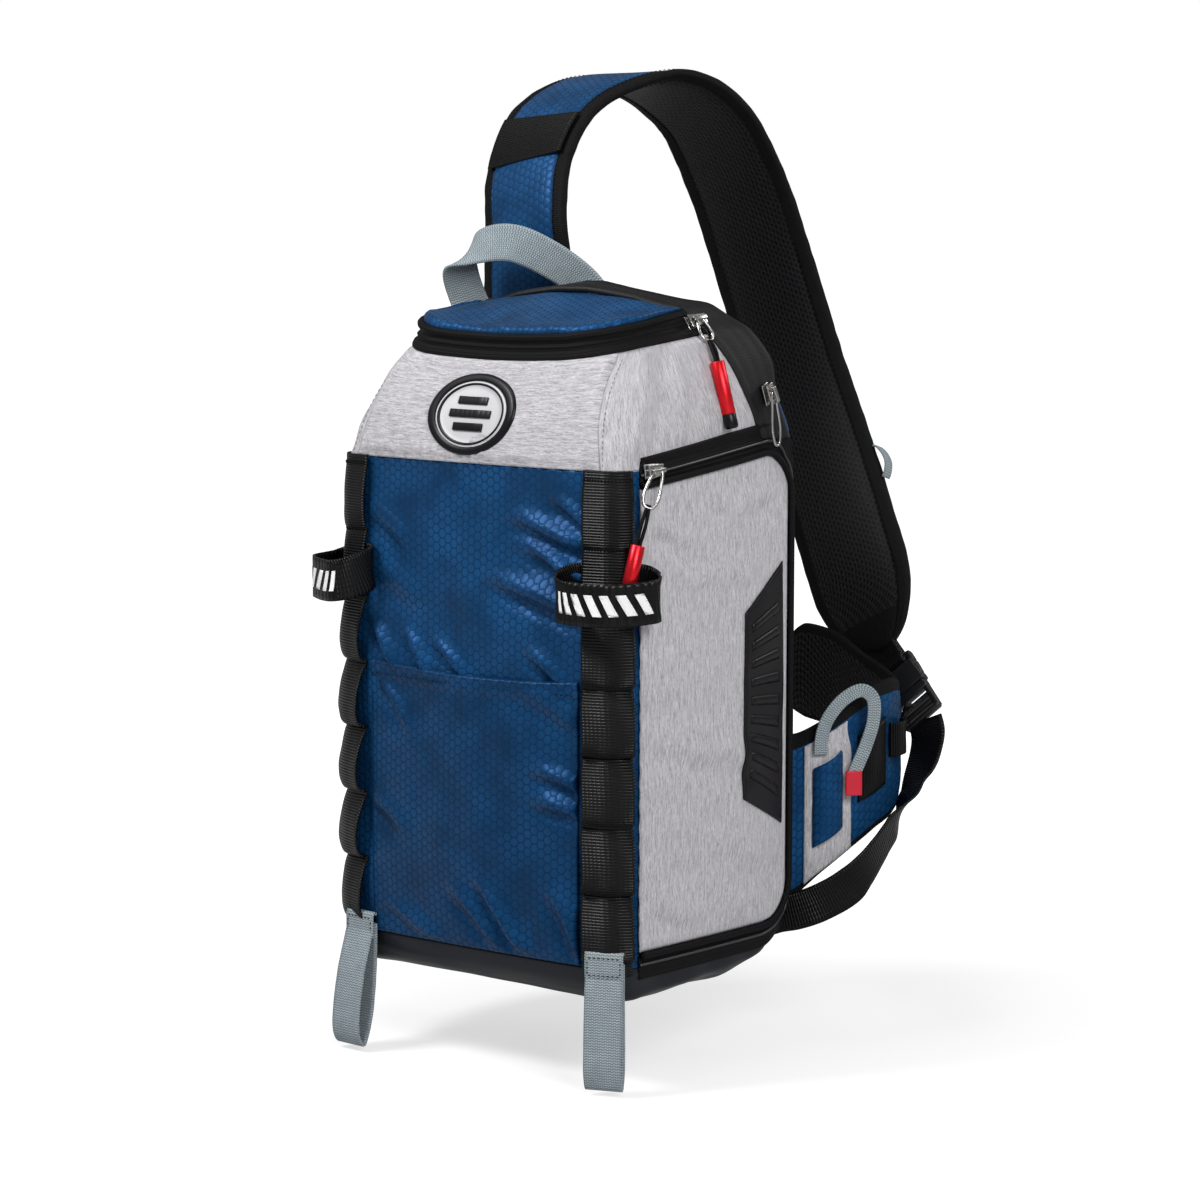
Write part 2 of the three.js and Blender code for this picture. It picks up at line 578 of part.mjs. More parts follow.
function add(name, geometry, colour, roughness = 0.8, metalness = 0) {
  const bare = geometry.clone();
  bare.computeVertexNormals();
  const mesh = new THREE.Mesh(bare, new THREE.MeshStandardMaterial({ color: colour, roughness, metalness }));
  mesh.name = name;
  nodes.push(mesh);
  return mesh;
}

const COLOURS = {
  navy: 0x27486f,
  grey: 0xb4b3b4,
  black: 0x1d1d20,
  coated: 0x232327,
  mesh: 0x151517,
  webbing: 0x9aa3a8,
  metal: 0x8d8f92,
  red: 0xc4202b,
  rubber: 0x26262a,
};

// Bag shell
const far = 400;
const outer = bagBody(0);
const clearance = bagBody(GAP);
const shell = outer.subtract(bagBody(-CLOTH, sectionHeight(SECTIONS[0]) + CLOTH));

function zone(z0, z1, y0 = -far, y1 = far, x0 = -far, x1 = far) {
  return boxBody([x0, y0, z0], [x1, y1, z1]);
}

add('base_boot', geometryOf(shell.intersect(zone(-far, BOOT_HEIGHT))), COLOURS.coated, 0.5);
add('body_wall', geometryOf(shell.intersect(zone(BOOT_HEIGHT + GAP, SEAM_HEIGHT))), COLOURS.navy);

// The arch's two edges, seen from the side
const archTop = BAG_HEIGHT + 30;
const archSlope = (ARCH_TOP_DEPTH - ARCH_FOOT_DEPTH) / (BAG_HEIGHT - ARCH_FOOT);
const archEdge = (height, shift) => ARCH_FOOT_DEPTH + archSlope * (height - ARCH_FOOT) + shift;
const archStep = ARCH_WIDTH * Math.hypot(1, archSlope);
const seam = SEAM_HEIGHT + GAP;
const beforeArch = sidePrism([
  [-far, seam], [archEdge(seam, -GAP), seam], [archEdge(archTop, -GAP), archTop], [-far, archTop],
], -far, far);
const withinArch = sidePrism([
  [archEdge(ARCH_FOOT, 0), ARCH_FOOT], [archEdge(ARCH_FOOT, archStep), ARCH_FOOT],
  [archEdge(archTop, archStep), archTop], [archEdge(archTop, 0), archTop],
], -far, far);
const behindArch = sidePrism([
  [archEdge(seam, 0), seam], [far, seam], [far, archTop], [archEdge(archTop, archStep + GAP), archTop],
  [archEdge(ARCH_FOOT - GAP, archStep + GAP), ARCH_FOOT - GAP], [archEdge(ARCH_FOOT - GAP, 0), ARCH_FOOT - GAP],
], -far, far);

// Heights of the belt's edges follow the lid's rise, and its front droop is left to the cut
function beltZone(low, high) {
  const front = -LID_FRONT * FRONT_DEPTH;
  const riseAt = (y) => LID_RISE * (y - front);
  return sidePrism([
    [-far, low], [front, low], [LID_RISE_END, low + riseAt(LID_RISE_END)], [far, low + riseAt(LID_RISE_END)],
    [far, high + riseAt(LID_RISE_END)], [LID_RISE_END, high + riseAt(LID_RISE_END)], [front, high], [-far, high],
  ], -far, far);
}

const beltTop = BELT_HEIGHT + BELT_WIDTH;
const yoke = shell.intersect(beforeArch).intersect(beltZone(SEAM_HEIGHT - 60, BELT_HEIGHT));
const [yokeFoot, yokeTop] = YOKE_SEAM.map((share) => share * HALF_WIDTH);
const yokeFrontZone = (grow) => frontPrism([
  [-yokeFoot - grow, seam - 1], [yokeFoot + grow, seam - 1], [yokeTop + grow, beltTop], [-yokeTop - grow, beltTop],
], -far, -YOKE_SEAM[2] * FRONT_DEPTH + grow);
add('yoke_front', geometryOf(yoke.intersect(yokeFrontZone(0))), COLOURS.grey);
const yokeSides = yoke.subtract(yokeFrontZone(GAP));
add('yoke_side_right', geometryOf(yokeSides.intersect(zone(0, far * 2, -far, far, 0, far))), COLOURS.grey);
add('yoke_side_left', geometryOf(yokeSides.intersect(zone(0, far * 2, -far, far, -far, 0))), COLOURS.grey);
add('lid_zip_band', geometryOf(shell.intersect(beforeArch).intersect(beltZone(BELT_HEIGHT + GAP, beltTop))), COLOURS.black);
add('lid_panel', geometryOf(shell.intersect(beforeArch).intersect(beltZone(beltTop + GAP, BAG_HEIGHT + 60))), COLOURS.navy);
add('rear_zip_band', geometryOf(shell.intersect(withinArch)), COLOURS.black);
add('back_shell', geometryOf(shell.intersect(behindArch)), COLOURS.navy);

// Front slip pocket, a little slack below its hem
const pocketEdge = DAISY_INNER - 1;
const pocketSwell = (u, v) => POCKET_SWELL * (1 - (u / pocketEdge) ** 2) * pocketShare(v);
const pocketFoot = BOOT_HEIGHT + 2;
const pocketShare = (height) => (height - pocketFoot) / (POCKET_HEM - pocketFoot);
add('front_pocket', slab(
  steps(-pocketEdge, pocketEdge, 6), rowsBetween(pocketFoot, POCKET_HEM, 50), (u, v, offset) => frontPoint(v, u, offset),
  (u, v) => GAP + pocketSwell(u, v), (u, v) => GAP + POCKET_CLOTH + pocketSwell(u, v),
), COLOURS.navy);

// Daisy chains: webbing round the two front corners, stitched down at each bartack
const frontFlat = HALF_WIDTH - CORNER * HALF_WIDTH;
const cornerStep = CORNER * HALF_WIDTH * Math.PI / 2 / CORNER_STEPS;
const daisyHeights = [BOOT_HEIGHT + 1];
const daisyStand = [0];
for (let tack = DAISY_LAST; tack < SEAM_HEIGHT - 1; tack += DAISY_STITCH) {
  const rise = Math.min(DAISY_STITCH, SEAM_HEIGHT - 1 - tack);
  LOOP_PROFILE.forEach(([share, stand]) => {
    daisyHeights.push(tack + share * rise);
    daisyStand.push(stand * DAISY_BULGE);
  });
}
daisyHeights.push(SEAM_HEIGHT - 1);
daisyStand.push(0);
const daisyOuter = DAISY_INNER + DAISY_WIDTH;
const daisyColumns = [DAISY_INNER, frontFlat, frontFlat + cornerStep, frontFlat + 2 * cornerStep, daisyOuter];
const standAt = (height) => daisyStand[daisyHeights.indexOf(height)];
for (const [name, side] of [['daisy_webbing_right', 1], ['daisy_webbing_left', -1]]) {
  add(name, slab(
    daisyColumns, daisyHeights, (u, v, offset) => frontPoint(v, side * u, offset),
    (u, v) => GAP + standAt(v), (u, v) => GAP + DAISY_THICK + standAt(v),
  ), COLOURS.black);
}

// Hook-and-loop rings pass behind the webbing and stand out in front of it
function webbingRing(name, side, rows, height) {
  const loop = new THREE.CatmullRomCurve3(rows.map(([u, offset]) => {
    const drop = RING_DROP * offset;
    const place = frontPoint(height, side * u, offset);
    return new THREE.Vector3(place.x, place.y, place.z - drop);
  }), true, 'catmullrom', 0.5);
  const stations = Array.from({ length: RING_STEPS }, (_, i) => {
    const tangent = loop.getTangent(i / RING_STEPS);
    const wide = new THREE.Vector3(0, 0, 1).addScaledVector(tangent, -tangent.z).normalize();
    return { at: loop.getPoint(i / RING_STEPS), wide, normal: new THREE.Vector3().crossVectors(tangent, wide) };
  });
  add(name, band(stations, RING_HEIGHT, RING_THICK, FLAT_SECTION, true), COLOURS.black);
}
const ringHeight = DAISY_LAST + RING_TACK * DAISY_STITCH;
const ringRows = (stand, lean) => RING_ROWS.map(([across, leans, stands, off]) => (
  [DAISY_INNER + across + leans * lean, stands * stand + off]
));
RINGS.forEach(([name, side, stand, lean]) => webbingRing(name, side, ringRows(stand, lean), ringHeight));

// Base loops of grey webbing, folded in two and sewn at the foot of each daisy chain
const daisySkin = GAP + DAISY_THICK + GAP + GREY_THICK / 2;
BASE_LOOPS.forEach(([name, share, heading, rows]) => {
  const facing = THREE.MathUtils.degToRad(heading);
  const across = new THREE.Vector3(Math.cos(facing), Math.sin(facing), 0);
  const out = new THREE.Vector3(Math.sin(facing), -Math.cos(facing), 0);
  const foot = frontPoint(BOOT_HEIGHT + LOOP_FOOT, share * frontFlat, daisySkin);
  const stations = smoothTable(rows.map(([offset, drop]) => ({
    at: foot.clone().addScaledVector(out, offset * LOOP_SWING).add(new THREE.Vector3(0, 0, -drop * LOOP_DROP)),
    wide: across,
  })), LOOP_STEPS);
  add(name, band(stations, GREY_WEB, GREY_THICK), COLOURS.webbing);
});

// Tray pocket on the right: outline seen from the side, as depth and height
const sideFront = -FRONT_DEPTH + CORNER * HALF_WIDTH;
function trayOutline(growTop, growRear, growBottom) {
  const front = sideFront + TRAY_FRONT;
  const rear = front + TRAY_LENGTH + growRear;
  const slope = (TRAY_TOP_REAR - TRAY_TOP_FRONT) / TRAY_LENGTH;
  const topRear = TRAY_TOP_REAR + growTop + slope * growRear;
  const bottom = TRAY_BOTTOM - growBottom;
  const r = TRAY_CORNER + growRear;
  const corner = (cy, cz, start) => steps(0, 1, TRAY_ARC_STEPS).map((t) => {
    const a = THREE.MathUtils.degToRad(start + 90 * t);
    return [cy + r * Math.cos(a), cz + r * Math.sin(a)];
  });
  return [
    [front, bottom],
    ...corner(rear - r, bottom + r, -90),
    ...corner(rear - r, topRear - r - slope * r, 0),
    [front, TRAY_TOP_FRONT + growTop],
  ];
}
const sideCut = (outline) => sidePrism(outline, ...SIDE_CUT.map((share) => share * HALF_WIDTH));
const trayPrism = (...grow) => sideCut(trayOutline(...grow));
const trayEnd = TRAY_FRONT + TRAY_LENGTH;
const traySwell = (along, height) => {
  const a = THREE.MathUtils.clamp((along - TRAY_FRONT) / TRAY_LENGTH, 0, 1);
  const b = THREE.MathUtils.clamp((height - TRAY_BOTTOM) / (TRAY_TOP_FRONT - TRAY_BOTTOM), 0, 1);
  return TRAY_SWELL * Math.sqrt(Math.sin(Math.PI * a) * Math.sin(Math.PI * b));
};
const trayPoint = (u, v, offset) => sidePoint(v, u, offset);
const trayColumns = [TRAY_FRONT, ...steps(0.06, 0.94, 4).map((t) => TRAY_FRONT + t * TRAY_LENGTH), trayEnd];
const trayHeights = rowsBetween(TRAY_BOTTOM - 2, TRAY_TOP_REAR + 4, 70);
const traySlab = slab(
  trayColumns, trayHeights, trayPoint,
  (u, v) => GAP + traySwell(u, v), (u, v) => GAP + TRAY_CLOTH + traySwell(u, v),
);
add('side_pocket_panel', geometryOf(solid(traySlab).intersect(trayPrism(0, 0, 0))), COLOURS.grey);
const sideLength = REAR_DEPTH + FRONT_DEPTH - 2 * CORNER * HALF_WIDTH;
const zipSlab = solid(slab(
  [...steps(TRAY_FRONT, sideLength, 5), sideLength + cornerStep, sideLength + 2 * cornerStep],
  rowsBetween(TRAY_BOTTOM - TRAY_ZIP - 6, TRAY_TOP_REAR + TRAY_ZIP + 8, 200), trayPoint, 2 * GAP, 2 * GAP + TRAY_ZIP_CLOTH,
));
const zipRim = trayPrism(PIPING + GAP + TRAY_ZIP, PIPING + GAP + TRAY_GUSSET, PIPING + GAP + TRAY_ZIP);
const zipHole = trayPrism(PIPING + 5 * GAP, PIPING + 6 * GAP, PIPING + 2 * GAP);
add('side_pocket_zip_band', geometryOf(
  zipSlab.intersect(zipRim).subtract(zipHole).subtract(clearance),
), COLOURS.black);

// Piping bead between the grey panel and the black band
function sideSkin(depth, height, offset) {
  return sidePoint(height, depth - sideFront, offset);
}
const beadPath = trayOutline(PIPING / 2 + GAP, PIPING / 2 + GAP, PIPING / 2 + GAP);
const beadRow = [beadPath[0]];
beadPath.slice(1).forEach(([y, z]) => {
  const [py, pz] = beadRow[beadRow.length - 1];
  const pieces = Math.max(1, Math.round(Math.hypot(y - py, z - pz) / BEAD_STEP));
  for (let k = 1; k <= pieces; k += 1) beadRow.push([mix(py, y, k / pieces), mix(pz, z, k / pieces)]);
});
const beadSpots = beadRow.map(([y, z]) => sideSkin(y, z, 2 * GAP + PIPING / 2));
const beadStations = beadSpots.map((at, k) => {
  const before = beadSpots[Math.max(k - 1, 0)];
  const after = beadSpots[Math.min(k + 1, beadSpots.length - 1)];
  const tangent = after.clone().sub(before).normalize();
  const wide = new THREE.Vector3(1, 0, 0).addScaledVector(tangent, -tangent.x).normalize();
  return { at, wide, normal: new THREE.Vector3().crossVectors(tangent, wide) };
});
add('side_pocket_piping', band(beadStations, PIPING, PIPING, HEXAGON), COLOURS.black);

// Rubber grip patch on the rear of the tray pocket
const patchRear = sideFront + trayEnd - 3;
const patchOutline = PATCH_CORNERS.map(([depth, height]) => [patchRear - depth * TRAY_LENGTH, height * TRAY_TOP_REAR]);
const patchBase = (u, v) => GAP + TRAY_CLOTH + GAP + traySwell(u, v);
const patchSlab = slab(
  trayColumns, trayHeights, trayPoint,
  patchBase, (u, v) => patchBase(u, v) + PATCH_THICK,
);
add('side_grip_patch', geometryOf(
  solid(patchSlab).intersect(sideCut(patchOutline)),
), COLOURS.rubber, 0.6);

// Bottle pocket on the left, open at the top
const bottleFoot = BOOT_HEIGHT + 8;
const bottleStand = (t, height) => {
  const rise = Math.sqrt(Math.max(height - bottleFoot, 0) / (BOTTLE_TOP - bottleFoot));
  return BOTTLE_BULGE * Math.sin(Math.PI * THREE.MathUtils.clamp(t, 0, 1)) ** 0.4 * mix(BOTTLE_TAPER, 1, rise);
};
const bottlePoint = (t, height, offset) => skinPoint(height, 'left', 1 - mix(...BOTTLE_SPAN, t), offset);
const bottleColumns = [0, 0.04, 0.12, 0.25, 0.4, 0.6, 0.75, 0.88, 0.96, 1];
const bottleSkin = slab(
  bottleColumns, rowsBetween(bottleFoot, BOTTLE_TOP, 80), bottlePoint,
  (t, v) => GAP + bottleStand(t, v), (t, v) => GAP + BOTTLE_CLOTH + bottleStand(t, v),
);
const bottleFloor = slab(
  bottleColumns, [bottleFoot, bottleFoot + BOTTLE_CLOTH], bottlePoint,
  GAP, (t, v) => GAP + BOTTLE_CLOTH * 0.8 + bottleStand(t, v),
);
add('side_bottle_pocket', geometryOf(solid(bottleSkin).add(solid(bottleFloor))), COLOURS.mesh);

// Pad on the wearer's side
const padStand = (t, height) => {
  const v = (height - PAD_BOTTOM) / (PAD_TOP - PAD_BOTTOM);
  return PAD_THICK * Math.min(1, PAD_EDGE + 3 * Math.sin(Math.PI * t) * Math.sin(Math.PI * v));
};
const padPoint = (t, height, offset) => skinPoint(height, 'rear', mix(...PAD_SPAN, t), offset);
add('back_pad', slab(
  [0, 0.08, 0.3, 0.5, 0.7, 0.92, 1], rowsBetween(PAD_BOTTOM, PAD_TOP, 60), padPoint,
  GAP, (t, v) => GAP + padStand(t, v),
), COLOURS.mesh);

// Shoulder strap: rows are its centre line from the foot, as shares of its shift, reach, rise and drop
const strapAt = (row) => new THREE.Vector3(
  STRAP_X + row[0] * STRAP_SHIFT, STRAP_Y + row[1] * STRAP_REACH, STRAP_FOOT + row[2] * STRAP_RISE - row[3] * STRAP_DROP,
);
const strapRows = STRAP_PATH.map((row) => ({ at: strapAt(row), wide: new THREE.Vector3(row[4], row[5], row[6]) }));
const strapStations = smoothTable(strapRows, STRAP_STEPS);
const strapEnd = (t) => (t < STRAP_ROUND ? 1 : Math.sqrt(Math.max(1 - ((t - STRAP_ROUND) / (1 - STRAP_ROUND) * 0.9) ** 2, 0.05)));
const strapBody = solid(band(strapStations, STRAP_WIDTH, STRAP_THICK, PAD_SECTION, false, strapEnd));
add('strap_pad', geometryOf(strapBody.subtract(clearance)), COLOURS.navy);

// What is sewn on the strap follows its outer face
function onStrap(from, to, lift) {
  return strapStations.slice(from, to + 1).map((station) => ({
    ...station, at: station.at.clone().addScaledVector(station.normal, -lift),
  }));
}
const bandLift = STRAP_THICK / 2 + GAP + BLACK_THICK / 2;
add('strap_keeper_band', band(onStrap(...KEEPER_BAND, bandLift), 0.84 * STRAP_WIDTH, BLACK_THICK), COLOURS.black);

// The wing: rows are places in plan with the lower and upper edge, as shares of the wing's own sizes
const wingCurve = new THREE.CatmullRomCurve3(WING_PATH.map(([x, y]) => new THREE.Vector3(
  HALF_WIDTH + (x < 0 ? x * WING_FOLD : x * WING_SPREAD), REAR_DEPTH + y * WING_REACH, 0,
)), false, 'centripetal');
const wingLow = new THREE.CatmullRomCurve3(WING_PATH.map(([, , low, high]) => new THREE.Vector3(
  low * WING_TOP, high * WING_TOP, 0,
)), false, 'centripetal');
function wingPoint(s, v, offset) {
  const place = wingCurve.getPoint(s);
  const tangent = wingCurve.getTangent(s);
  const edges = wingLow.getPoint(s);
  return new THREE.Vector3(
    place.x + tangent.y * offset, place.y - tangent.x * offset, mix(edges.x, edges.y, v),
  );
}
const wingEdge = (v) => Math.sin(Math.PI * THREE.MathUtils.clamp(v, WING_ROWS[1], WING_ROWS[4])) ** 0.35;
const wingBody = solid(slab(
  steps(0, 1, WING_STEPS), WING_ROWS, wingPoint,
  (s, v) => -WING_THICK / 2 * wingEdge(v), (s, v) => WING_THICK / 2 * wingEdge(v),
));
add('hip_wing_pad', geometryOf(wingBody.subtract(clearance)), COLOURS.navy);
const onWing = WING_THICK / 2 + GAP;
add('wing_front_insert', slab(
  steps(WING_INSERT[0], WING_INSERT[1], 4), steps(0.03, 0.97, 6), wingPoint, onWing, onWing + POCKET_CLOTH,
), COLOURS.grey);
const onInsert = onWing + POCKET_CLOTH + GAP;
const toolStand = (s) => TOOL_STAND * Math.sin(Math.PI * (s - WING_POCKET[0]) / (WING_POCKET[1] - WING_POCKET[0]));
add('wing_tool_pocket', slab(
  steps(WING_POCKET[0], WING_POCKET[1], 4), steps(WING_POCKET[2], WING_POCKET[3], 2), wingPoint,
  (s) => onInsert + toolStand(s), (s) => onInsert + POCKET_CLOTH + toolStand(s),
), COLOURS.navy);
WING_ELASTICS.forEach(([name, from, to, low, high, stand]) => {
  const bulge = (s) => stand * Math.sin(Math.PI * (s - from) / (to - from)) ** 0.6;
  add(name, slab(
    steps(from, to, 6), [low, high], wingPoint, (s) => onWing + bulge(s), (s) => onWing + ELASTIC_THICK + bulge(s),
  ), COLOURS.black);
});

// Lanyard loop, its tag, and the webbing that the buckle holds. Rows: place and width direction.
const wingSpot = (s, v, lift) => wingPoint(s, v, onInsert + lift);
const lanyardRows = LANYARD_PATH.map(([s, v, lift, a, b, c]) => ({ at: wingSpot(s, v, lift), wide: new THREE.Vector3(a, b, c) }));
add('wing_lanyard_loop', band(smoothTable(lanyardRows, 22), LANYARD_WIDTH, GREY_THICK), COLOURS.webbing);
const tagTop = LANYARD_PATH[LANYARD_PATH.length - 1];
const tagRows = [0, 1].map((k) => ({
  at: wingSpot(tagTop[0], tagTop[1] - TAG_GAP - k * TAG_LENGTH, tagTop[2]), wide: new THREE.Vector3(tagTop[3], tagTop[4], tagTop[5]),
}));
add('wing_tag', band(smoothTable(tagRows, 2), LANYARD_WIDTH + 1, GREY_THICK), COLOURS.red);

// The strap's end, its buckle and the two webbings
const strapTip = strapStations[strapStations.length - 1];
const alongBuckle = new THREE.Vector3(...BUCKLE_DIRECTION).normalize();
const buckleWide = strapTip.wide.clone().addScaledVector(alongBuckle, -strapTip.wide.dot(alongBuckle)).normalize();
const buckleNormal = new THREE.Vector3().crossVectors(alongBuckle, buckleWide);
const buckleAt = (distance) => ({
  at: strapTip.at.clone().addScaledVector(alongBuckle, distance), wide: buckleWide, normal: buckleNormal,
});
const run = (from, to, count) => steps(from, to, count).map(buckleAt);
const socketFrom = TAB_LENGTH + GAP;
const plugFrom = socketFrom + SOCKET_LENGTH + GAP;
add('strap_tab', band(run(TAB_START, TAB_LENGTH, 2), BLACK_WEB, 3), COLOURS.black);
add('buckle_socket', band(run(socketFrom, socketFrom + SOCKET_LENGTH, 4), BUCKLE_WIDTH, BUCKLE_THICK, PAD_SECTION, false,
  (t) => 0.86 + 0.14 * Math.sin(Math.PI * t)), COLOURS.rubber, 0.45);
const plugBody = (grow) => band(
  run(plugFrom, plugFrom + PLUG_LENGTH + grow, 4), BUCKLE_WIDTH + 2 * grow, BUCKLE_THICK * 0.8 + 2 * grow, PAD_SECTION, false, (t) => 0.94 - 0.12 * t,
);
add('buckle_plug', plugBody(0), COLOURS.rubber, 0.45);
const plugEnd = buckleAt(plugFrom + PLUG_LENGTH + GAP).at;
const plugFace = buckleAt(plugFrom + PLUG_LENGTH * 0.6).at.addScaledVector(buckleNormal, BUCKLE_THICK * 0.4 + WING_WEB_LIFT);
const relative = (rows, from, to) => rows.map(([x, y, z, a, b, c]) => ({
  at: new THREE.Vector3(mix(from.x, to.x, x), mix(from.y, to.y, y), mix(from.z, to.z, z)), wide: new THREE.Vector3(a, b, c),
}));
const wingAnchor = wingPoint(WING_WEB_ANCHOR[0], WING_WEB_ANCHOR[1], onWing + BLACK_THICK / 2);
const wingWebRows = [[plugFace, buckleWide], [plugFace.clone().lerp(wingAnchor, 0.5), buckleWide], [wingAnchor, WING_WEB_WIDE]];
add('wing_webbing', band(
  smoothTable(wingWebRows.map(([at, wide]) => ({ at, wide })), 4), WING_WEB_WIDTH, BLACK_THICK,
), COLOURS.black);
const baseAnchor = new THREE.Vector3(HALF_WIDTH * BASE_WEB_ANCHOR[0], REAR_DEPTH * BASE_WEB_ANCHOR[1], BASE_WEB_ANCHOR[2]);
const lowerBody = solid(band(smoothTable(relative(LOWER_WEB_PATH, plugEnd, baseAnchor), 20), BLACK_WEB, BLACK_THICK));
add('lower_webbing', geometryOf(lowerBody.subtract(clearance).subtract(solid(plugBody(GAP)))), COLOURS.black);

// Grab handle over the arch
const handleRows = HANDLE_PATH.map(([x, y, z, a, b, c]) => ({
  at: new THREE.Vector3(x * HALF_WIDTH, y * REAR_DEPTH, BAG_HEIGHT + z * HANDLE_RISE), wide: new THREE.Vector3(a, b, c),
}));
const handleBody = solid(band(smoothTable(handleRows, 24), GREY_WEB, GREY_THICK));
add('grab_handle', geometryOf(handleBody.subtract(clearance)), COLOURS.webbing);

// Small grey loop sewn to the strap's edge
const loopStation = strapStations[STRAP_LOOP_STEP];
const loopDown = strapStations[STRAP_LOOP_STEP + 3].at.clone().sub(loopStation.at).normalize();
const sideLoopRows = [[0.5, 0], [2.5, 2], [5.5, 9], [5.8, 16], [2.5, 23], [0.5, 25]].map(([out, down]) => ({
  at: loopStation.at.clone().addScaledVector(loopStation.wide, STRAP_WIDTH / 2 + GREY_THICK / 2 + out).addScaledVector(loopDown, down),
  wide: loopStation.normal,
}));
add('strap_side_loop', band(smoothTable(sideLoopRows, 10), 9, GREY_THICK), COLOURS.webbing);

// Badge on the yoke: a disc that follows the cloth
const badgeRows = rowsBetween(BADGE_HEIGHT - BADGE_SIZE[1] - 3, BADGE_HEIGHT + BADGE_SIZE[1] + 3, 40);
const badgeColumns = steps(-BADGE_SIZE[0] - 3, BADGE_SIZE[0] + 3, 3).map((x) => x + BADGE_X);
const badgeSlab = solid(slab(badgeColumns, badgeRows, (u, v, offset) => frontPoint(v, u, offset), GAP, GAP + BADGE_THICK));
const disc = steps(0, 1, 24).slice(0, -1).map((t) => [
  BADGE_X + BADGE_SIZE[0] * Math.cos(2 * Math.PI * t), BADGE_HEIGHT + BADGE_SIZE[1] * Math.sin(2 * Math.PI * t),
]);
add('badge', geometryOf(badgeSlab.intersect(frontPrism(disc, -2 * FRONT_DEPTH, 0))), COLOURS.rubber);

// Zip sliders and their pulls
function slider(name, at, out, along, size) {
  const wide = new THREE.Vector3().crossVectors(along, out).normalize();
  const stations = [0, 0.3, 0.7, 1].map((t) => ({
    at: at.clone().addScaledVector(along, (t - 0.5) * size[0]).addScaledVector(out, size[2] / 2), wide, normal: out,
  }));
  add(name, band(stations, size[1], size[2], FLAT_SECTION, false, (t) => 0.7 + 0.3 * Math.sin(Math.PI * t)), COLOURS.metal, 0.35, 0.9);
}
function cordAlong(name, points, radius, colour, count, outline = HEXAGON) {
  const path = new THREE.CatmullRomCurve3(points, false, 'centripetal');
  const stations = Array.from({ length: count + 1 }, (_, i) => {
    const tangent = path.getTangent(i / count);
    const side = Math.abs(tangent.z) > 0.9 ? new THREE.Vector3(1, 0, 0) : new THREE.Vector3(0, 0, 1);
    const wide = side.addScaledVector(tangent, -side.dot(tangent)).normalize();
    return { at: path.getPoint(i / count), wide, normal: new THREE.Vector3().crossVectors(tangent, wide) };
  });
  add(name, band(stations, 2 * radius, 2 * radius, outline), colour);
}
const OCTAGON = steps(0, 1, 10).slice(0, -1).map((t) => [Math.cos(2 * Math.PI * t), Math.sin(2 * Math.PI * t)]);

// Lid pull hangs on the yoke's right side
const lidAt = (height, t, lift) => skinPoint(height, 'right', t, lift);
const lidOut = new THREE.Vector3(0.85, -0.15, 0.5).normalize();
slider('lid_slider', lidAt(BELT_HEIGHT + BELT_WIDTH / 2, 0.56, 1.6), lidOut, new THREE.Vector3(0.15, 0.97, 0.12).normalize(), SLIDER_SIZE);
cordAlong('lid_pull_cord', [
  lidAt(BELT_HEIGHT + 2, 0.6, 2.2), lidAt(BELT_HEIGHT - 5, 0.6, 2.4), lidAt(BELT_HEIGHT - 13, 0.6, TUBE_RADIUS + GAP),
], CORD_RADIUS, COLOURS.black, 5);
cordAlong('lid_pull_tube', [
  lidAt(BELT_HEIGHT - 14, 0.6, TUBE_RADIUS + 1.8), lidAt(BELT_HEIGHT - 14 - TUBE_LENGTH * 0.95, 0.575, TUBE_RADIUS + 2.2),
], TUBE_RADIUS, COLOURS.red, 2, OCTAGON);

// Side pull hangs from the front end of the tray pocket's zip
const sideZip = (height, along, lift) => sidePoint(height, along, 2 * GAP + TRAY_ZIP_CLOTH + lift);
slider('side_slider', sideZip(TRAY_TOP_FRONT + 12, TRAY_FRONT + 14, GAP), new THREE.Vector3(1, 0, 0), new THREE.Vector3(0, 0.99, 0.1).normalize(), SLIDER_SIZE);
const pullHeight = TRAY_TOP_FRONT - 8;
const overDaisy = GAP + DAISY_THICK + DAISY_BULGE;
cordAlong('side_pull_cord', [
  frontPoint(pullHeight + 12, daisyOuter + 9, 5.6), frontPoint(pullHeight, daisyOuter + 6, overDaisy + 2.4),
  frontPoint(pullHeight - 24, daisyOuter - 1, overDaisy + 5),
], CORD_RADIUS, COLOURS.black, 5);
cordAlong('side_pull_tube', [
  frontPoint(pullHeight - 25, daisyOuter - 1.4, overDaisy + 5.2), frontPoint(pullHeight - 25 - TUBE_LENGTH, daisyOuter - 6, overDaisy + 6),
], TUBE_RADIUS, COLOURS.red, 2, OCTAGON);

// Rear pull hangs at the foot of the arch
const archSpot = (height, depth, lift) => sidePoint(height, depth - sectionAt(height).front - sectionAt(height).radius, lift);
slider('rear_slider', archSpot(ARCH_FOOT + 24, ARCH_FOOT_DEPTH + 1, 1.2), new THREE.Vector3(1, 0, 0.1).normalize(), new THREE.Vector3(0, -0.45, 0.89), SLIDER_SIZE);
cordAlong('rear_pull', [
  archSpot(ARCH_FOOT + 16, ARCH_FOOT_DEPTH + 4, 3), archSpot(ARCH_FOOT + 4, ARCH_FOOT_DEPTH + 7, 5), archSpot(ARCH_FOOT - 6, ARCH_FOOT_DEPTH + 9, 5.6),
], 2.1, COLOURS.metal, 4);

// The origin is the underside of the strap at its highest point
const top = strapStations.reduce((best, station) => (station.at.z > best.at.z ? station : best));
const rest = new THREE.Vector3(top.at.x, top.at.y, top.at.z - STRAP_THICK / 2);
const group = new THREE.Group();
nodes.forEach((mesh) => {
  mesh.position.sub(rest);
  group.add(mesh);
});
export default group;
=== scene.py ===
"""Cloth, webbing and hardware of a single-strap tackle bag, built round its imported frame."""
import math
from functools import partial

